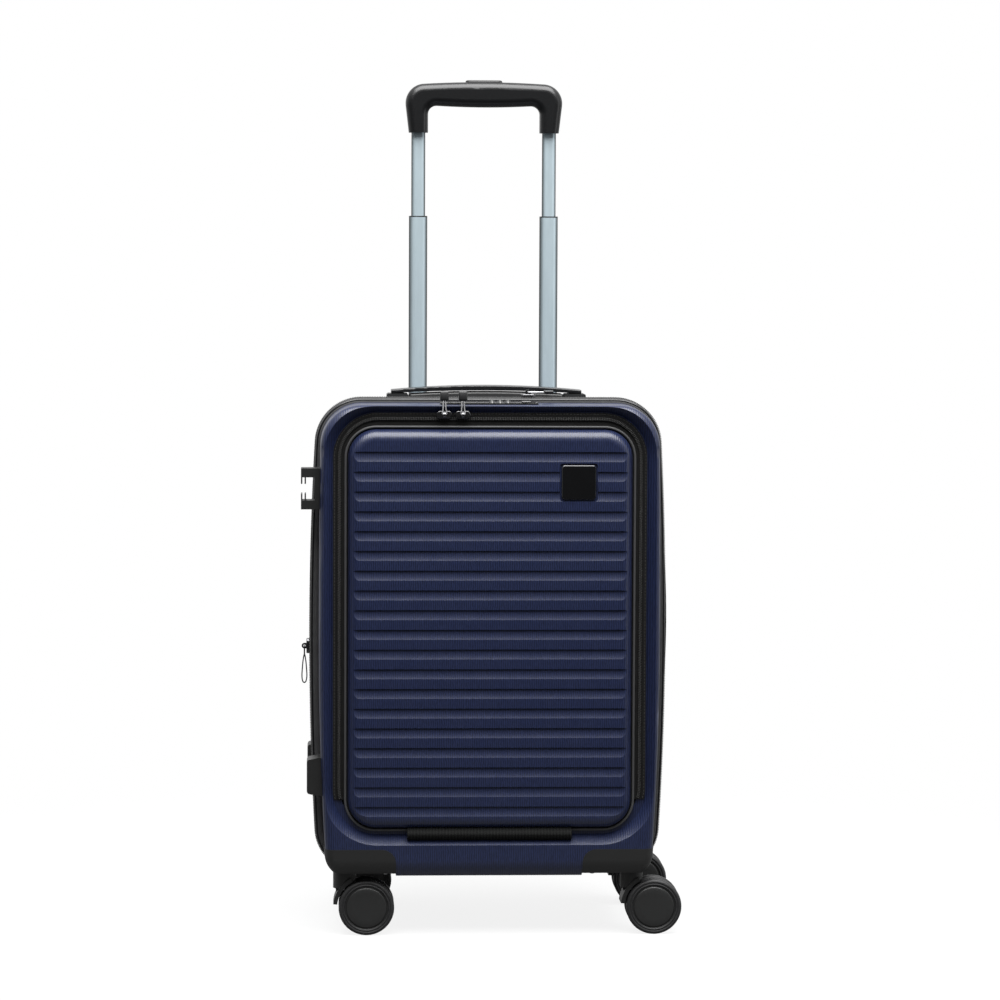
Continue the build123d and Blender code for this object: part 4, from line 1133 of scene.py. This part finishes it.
class SUITCASE_OT_dress_sliders(bpy.types.Operator):
    """Finishes the zip sliders and pullers"""

    bl_idname = "suitcase.dress_sliders"
    bl_label = "Dress sliders"

    def execute(self, context):
        sliders = ("pocket_slider_left", "pocket_slider_right", "expander_slider", "main_slider")
        paint("black_nickel", *sliders)
        up = Vector((0.0, math.sin(math.radians(12.0)), math.cos(math.radians(12.0))))
        across = Vector((1.0, 0.0, 0.0))
        along = Vector((0.0, 1.0, 0.0))
        for side in ("left", "right"):
            low, high = corners(f"pocket_slider_{side}")
            pin = Vector(((low.x + high.x) / 2.0, low.y + 0.0028, (low.z + high.z) / 2.0))
            self.knobbed(f"pocket_puller_{side}", pin, up, across, 0.024)
        low, high = corners("main_slider")
        pin = Vector(((low.x + high.x) / 2.0, (low.y + high.y) / 2.0, high.z - 0.0028))
        self.knobbed("main_puller", pin, across, along, 0.026)
        low, high = corners("expander_slider")
        pin = Vector((low.x + 0.0028, (low.y + high.y) / 2.0, (low.z + high.z) / 2.0))
        self.looped("expander_puller", pin, Vector((0.0, 0.0, -1.0)), along)
        return {"FINISHED"}

    def linked(self, name, node, pin, along, across, half, radius, material, *replaced):
        """A closed wire: one side as (along, across) pairs from the pin, and its mirror image back."""
        route = [pin + along * u + across * v for u, v in half]
        route += [pin + along * u - across * v for u, v in reversed(half)]
        piece(name, wire(name, route, radius), node, "slider_metal", material, *replaced)

    def knobbed(self, node, pin, along, across, length):
        """A wire link from the slider's pin to a soft knob."""
        neck = length - 0.0095
        half = [(0.0, 0.0021), (0.0020, 0.0021), (0.0065, 0.0012), (neck, 0.0012)]
        self.linked(f"{node} link", node, pin, along, across, half, 0.00072, "bright_steel", node)
        work = bmesh.new()
        bmesh.ops.create_cube(work, size=1.0)
        bmesh.ops.scale(work, verts=work.verts, vec=(0.0088, 0.0100, 0.0039))
        bmesh.ops.bevel(work, geom=work.edges[:], offset=0.0015, segments=4, affect="EDGES", profile=0.5)
        mesh = sculpted(f"{node} knob", work)
        turn = Matrix((across, along, across.cross(along))).transposed().to_4x4()
        mesh.transform(Matrix.Translation(pin + along * (length - 0.0051)) @ turn)
        mesh.shade_smooth()
        piece(f"{node} knob", mesh, node, "slider_metal", "soft_grip")

    def looped(self, node, pin, along, across):
        """A short link from the slider's pin and a long loop of cord hung in it."""
        half = [(0.0, 0.0021), (0.0022, 0.0021), (0.0060, 0.0016), (0.0105, 0.0012)]
        self.linked(f"{node} link", node, pin, along, across, half, 0.00070, "black_nickel", node)
        aside = across * 0.55 + along.cross(across) * 0.83
        tear = [(0.0083, 0.0002), (0.0140, 0.0016), (0.0240, 0.0027), (0.0325, 0.0032), (0.0376, 0.0016)]
        self.linked(f"{node} loop", node, pin, along, aside, tear, 0.00062, "soft_grip")


class SUITCASE_OT_line_inside(bpy.types.Operator):
    """Finishes the lining, the pocket wall and the packing straps"""

    bl_idname = "suitcase.line_inside"
    bl_label = "Line inside"

    def execute(self, context):
        paint("lining_cloth", "rear_lining", "pocket_wall")
        paint("tape_cloth", "packing_straps")
        return {"FINISHED"}


class SUITCASE_OT_fix_screws(bpy.types.Operator):
    """Sets screws on the bezel and under the wheel housings"""

    bl_idname = "suitcase.fix_screws"
    bl_label = "Fix screws"

    def execute(self, context):
        low, high = corners("trolley_bezel")
        up = Vector((0.0, 0.0, 1.0))
        spots = [Vector((x, (low.y + high.y) / 2.0, high.z)) for x in (low.x + 0.0026, high.x - 0.0026)]
        mesh = scattered("Bezel screws", spots, [up] * 2, screw_head(0.0019), "bright_steel")
        piece("Bezel screws", mesh, "rear_half", "steel", "bright_steel")
        for half in ("front", "rear"):
            low, high = corners(f"{half}_wheel_housings")
            places = []
            for x in (low.x + 0.062, high.x - 0.062):
                for y in (low.y + 0.012, high.y - 0.008):
                    places.append(Vector((x, y, low.z)))
            name = f"{half.title()} housing screws"
            mesh = scattered(name, places, [-up] * len(places), screw_head(0.0026), "bright_steel")
            piece(name, mesh, f"{half}_half", "steel", "bright_steel")
        return {"FINISHED"}


class SUITCASE_OT_dress_side_fittings(bpy.types.Operator):
    """Finishes the side feet and the strap hook"""

    bl_idname = "suitcase.dress_side_fittings"
    bl_label = "Dress side fittings"

    def execute(self, context):
        paint("charcoal_plastic", "front_side_foot", "rear_side_foot", "side_hook")
        return {"FINISHED"}


def camera_matrix(stage):
    """Where the camera stands and looks, from its place, yaw, pitch and roll."""
    yaw = stage.camera_yaw
    pitch = stage.camera_pitch
    roll = stage.camera_roll
    right = Vector((math.cos(yaw), math.sin(yaw), 0.0))
    level = Vector((-math.sin(yaw), math.cos(yaw), 0.0))
    up = Vector((0.0, 0.0, 1.0))
    ahead = level * math.cos(pitch) - up * math.sin(pitch)
    top = level * math.sin(pitch) + up * math.cos(pitch)
    across = right * math.cos(roll) + top * math.sin(roll)
    above = top * math.cos(roll) - right * math.sin(roll)
    turn = Matrix((across, above, -ahead)).transposed().to_4x4()
    return Matrix.Translation(stage.camera_place) @ turn


def softbox(name, place, target, width, height, power):
    """Large plain area light that looks at a target."""
    light = bpy.data.lights.new(name, "AREA")
    light.shape = "RECTANGLE"
    light.size = width
    light.size_y = height
    light.energy = power
    lamp = placed(name, light)
    look = Vector(target) - Vector(place)
    lamp.matrix_world = Matrix.Translation(place) @ look.to_track_quat("-Z", "Y").to_matrix().to_4x4()


class SUITCASE_OT_set_stage(bpy.types.Operator):
    """Sets the floor, the room light, the softboxes and the camera"""

    bl_idname = "suitcase.set_stage"
    bl_label = "Set stage"

    def execute(self, context):
        scene = context.scene
        stage = scene.suitcase_stage
        scene.view_settings.view_transform = "Standard"
        self.lay_floor(stage)
        scene.world = bpy.data.worlds.new("Studio room")
        scene.world.use_nodes = True
        self.light_room(stage, scene.world.node_tree)
        middle = (0.0, 0.0, 0.40)
        softbox("Overhead softbox", (0.10, -0.80, 2.4), middle, 2.6, 2.0, stage.overhead)
        softbox("Right softbox", (2.1, -0.9, 1.0), middle, 0.9, 1.8, stage.right_fill)
        lens = bpy.data.cameras.new("Camera")
        lens.sensor_width = 36.0
        lens.lens = stage.lens
        lens.dof.use_dof = False
        lens.clip_end = 50.0
        camera = placed("Camera", lens)
        camera.matrix_world = camera_matrix(stage)
        scene.camera = camera
        return {"FINISHED"}

    def lay_floor(self, stage):
        """A pale floor that fades into the room and thins out the shadow on it."""
        reach = 4.0
        sides = [(-reach, -reach, 0.0), (reach, -reach, 0.0), (reach, reach, 0.0), (-reach, reach, 0.0)]
        mesh = bpy.data.meshes.new("Floor")
        mesh.from_pydata(sides, [], [(0, 1, 2, 3)])
        floor = placed("Floor", mesh)
        made = Finish("Pale floor", (0.86, 0.86, 0.86), 0.9, Specular_IOR_Level=0.0)
        distance = made.node("ShaderNodeVectorMath", operation="LENGTH")
        made.link(made.node("ShaderNodeTexCoord").outputs["Object"], distance.inputs[0])
        fade = ramped(made.tree, distance.outputs["Value"], stage.floor_veil, 1.0, 0.30, 0.95, "SMOOTHSTEP")
        clear = made.node("ShaderNodeBsdfTransparent")
        mix = made.node("ShaderNodeMixShader")
        made.link(fade, mix.inputs["Fac"])
        made.link(made.shader.outputs["BSDF"], mix.inputs[1])
        made.link(clear.outputs["BSDF"], mix.inputs[2])
        made.link(mix.outputs["Shader"], made.tree.nodes["Material Output"].inputs["Surface"])
        mesh.materials.append(made.material)

    def light_room(self, stage, tree):
        """A white room with even light; shiny surfaces see it dark behind the camera and near the floor."""
        sky = tree.nodes["Background"]
        sky.inputs["Color"].default_value = (1.0, 1.0, 1.0, 1.0)
        path = add_node(tree, "ShaderNodeLightPath").outputs
        parts = add_node(tree, "ShaderNodeSeparateXYZ")
        tree.links.new(add_node(tree, "ShaderNodeTexCoord").outputs["Generated"], parts.inputs["Vector"])
        back, above = parts.outputs["Y"], parts.outputs["Z"]
        wall = ramped(tree, back, stage.dark_wall, 1.0, -0.75, 0.45, "SMOOTHSTEP")
        ceiling = ramped(tree, above, stage.dark_wall, 1.0, 0.20, 0.75, "SMOOTHSTEP")
        height = ramped(tree, above, 0.12, 1.0, -0.25, 0.10, "SMOOTHSTEP")
        seen = combined(tree, "MAXIMUM", wall, ceiling)
        seen = combined(tree, "MULTIPLY", seen, height)
        seen = combined(tree, "MULTIPLY", seen, path["Is Glossy Ray"])
        seen = combined(tree, "MAXIMUM", seen, path["Is Transmission Ray"])
        seen = combined(tree, "MAXIMUM", seen, path["Is Camera Ray"])
        level = add_node(tree, "ShaderNodeMix")
        tree.links.new(path["Is Diffuse Ray"], level.inputs["Factor"])
        tree.links.new(seen, level.inputs["A"])
        tree.links.new(ramped(tree, height, 0.0, stage.room), level.inputs["B"])
        tree.links.new(level.outputs["Result"], sky.inputs["Strength"])


OPERATORS = (
    SUITCASE_OT_dress_shells,
    SUITCASE_OT_sew_pocket_zip,
    SUITCASE_OT_fold_webbing,
    SUITCASE_OT_sew_belt,
    SUITCASE_OT_fit_wheels,
    SUITCASE_OT_dress_casters,
    SUITCASE_OT_dress_trolley,
    SUITCASE_OT_dress_handles,
    SUITCASE_OT_dress_lock,
    SUITCASE_OT_dress_sliders,
    SUITCASE_OT_line_inside,
    SUITCASE_OT_fix_screws,
    SUITCASE_OT_dress_side_fittings,
    SUITCASE_OT_set_stage,
)


class SUITCASE_PT_dresser(bpy.types.Panel):
    """Lists the suitcase's settings and steps"""

    bl_idname = "SUITCASE_PT_dresser"
    bl_label = "Suitcase"
    bl_space_type = "VIEW_3D"
    bl_region_type = "UI"
    bl_category = "Suitcase"

    def draw(self, context):
        layout = self.layout
        for group in GROUPS:
            settings = getattr(context.scene, group)
            box = layout.box()
            for name in settings.__annotations__:
                box.prop(settings, name)
        for operator in OPERATORS:
            layout.operator(operator.bl_idname)


GROUPS = {
    "suitcase_colours": SuitcaseColours,
    "suitcase_sewing": SuitcaseSewing,
    "suitcase_outline": SuitcaseOutline,
    "suitcase_stage": SuitcaseStage,
}


def register():
    """Registers the settings, the operators and the panel."""
    for name, group in GROUPS.items():
        bpy.utils.register_class(group)
        setattr(bpy.types.Scene, name, bpy.props.PointerProperty(type=group))
    for kind in (*OPERATORS, SUITCASE_PT_dresser):
        bpy.utils.register_class(kind)


def unregister():
    """Takes out what register put in."""
    for kind in (SUITCASE_PT_dresser, *reversed(OPERATORS)):
        bpy.utils.unregister_class(kind)
    for name, group in GROUPS.items():
        delattr(bpy.types.Scene, name)
        bpy.utils.unregister_class(group)


def main():
    """Runs every step in order."""
    register()
    for operator in OPERATORS:
        group, step = operator.bl_idname.split(".")
        getattr(getattr(bpy.ops, group), step)()


if __name__ == "__main__":
    main()
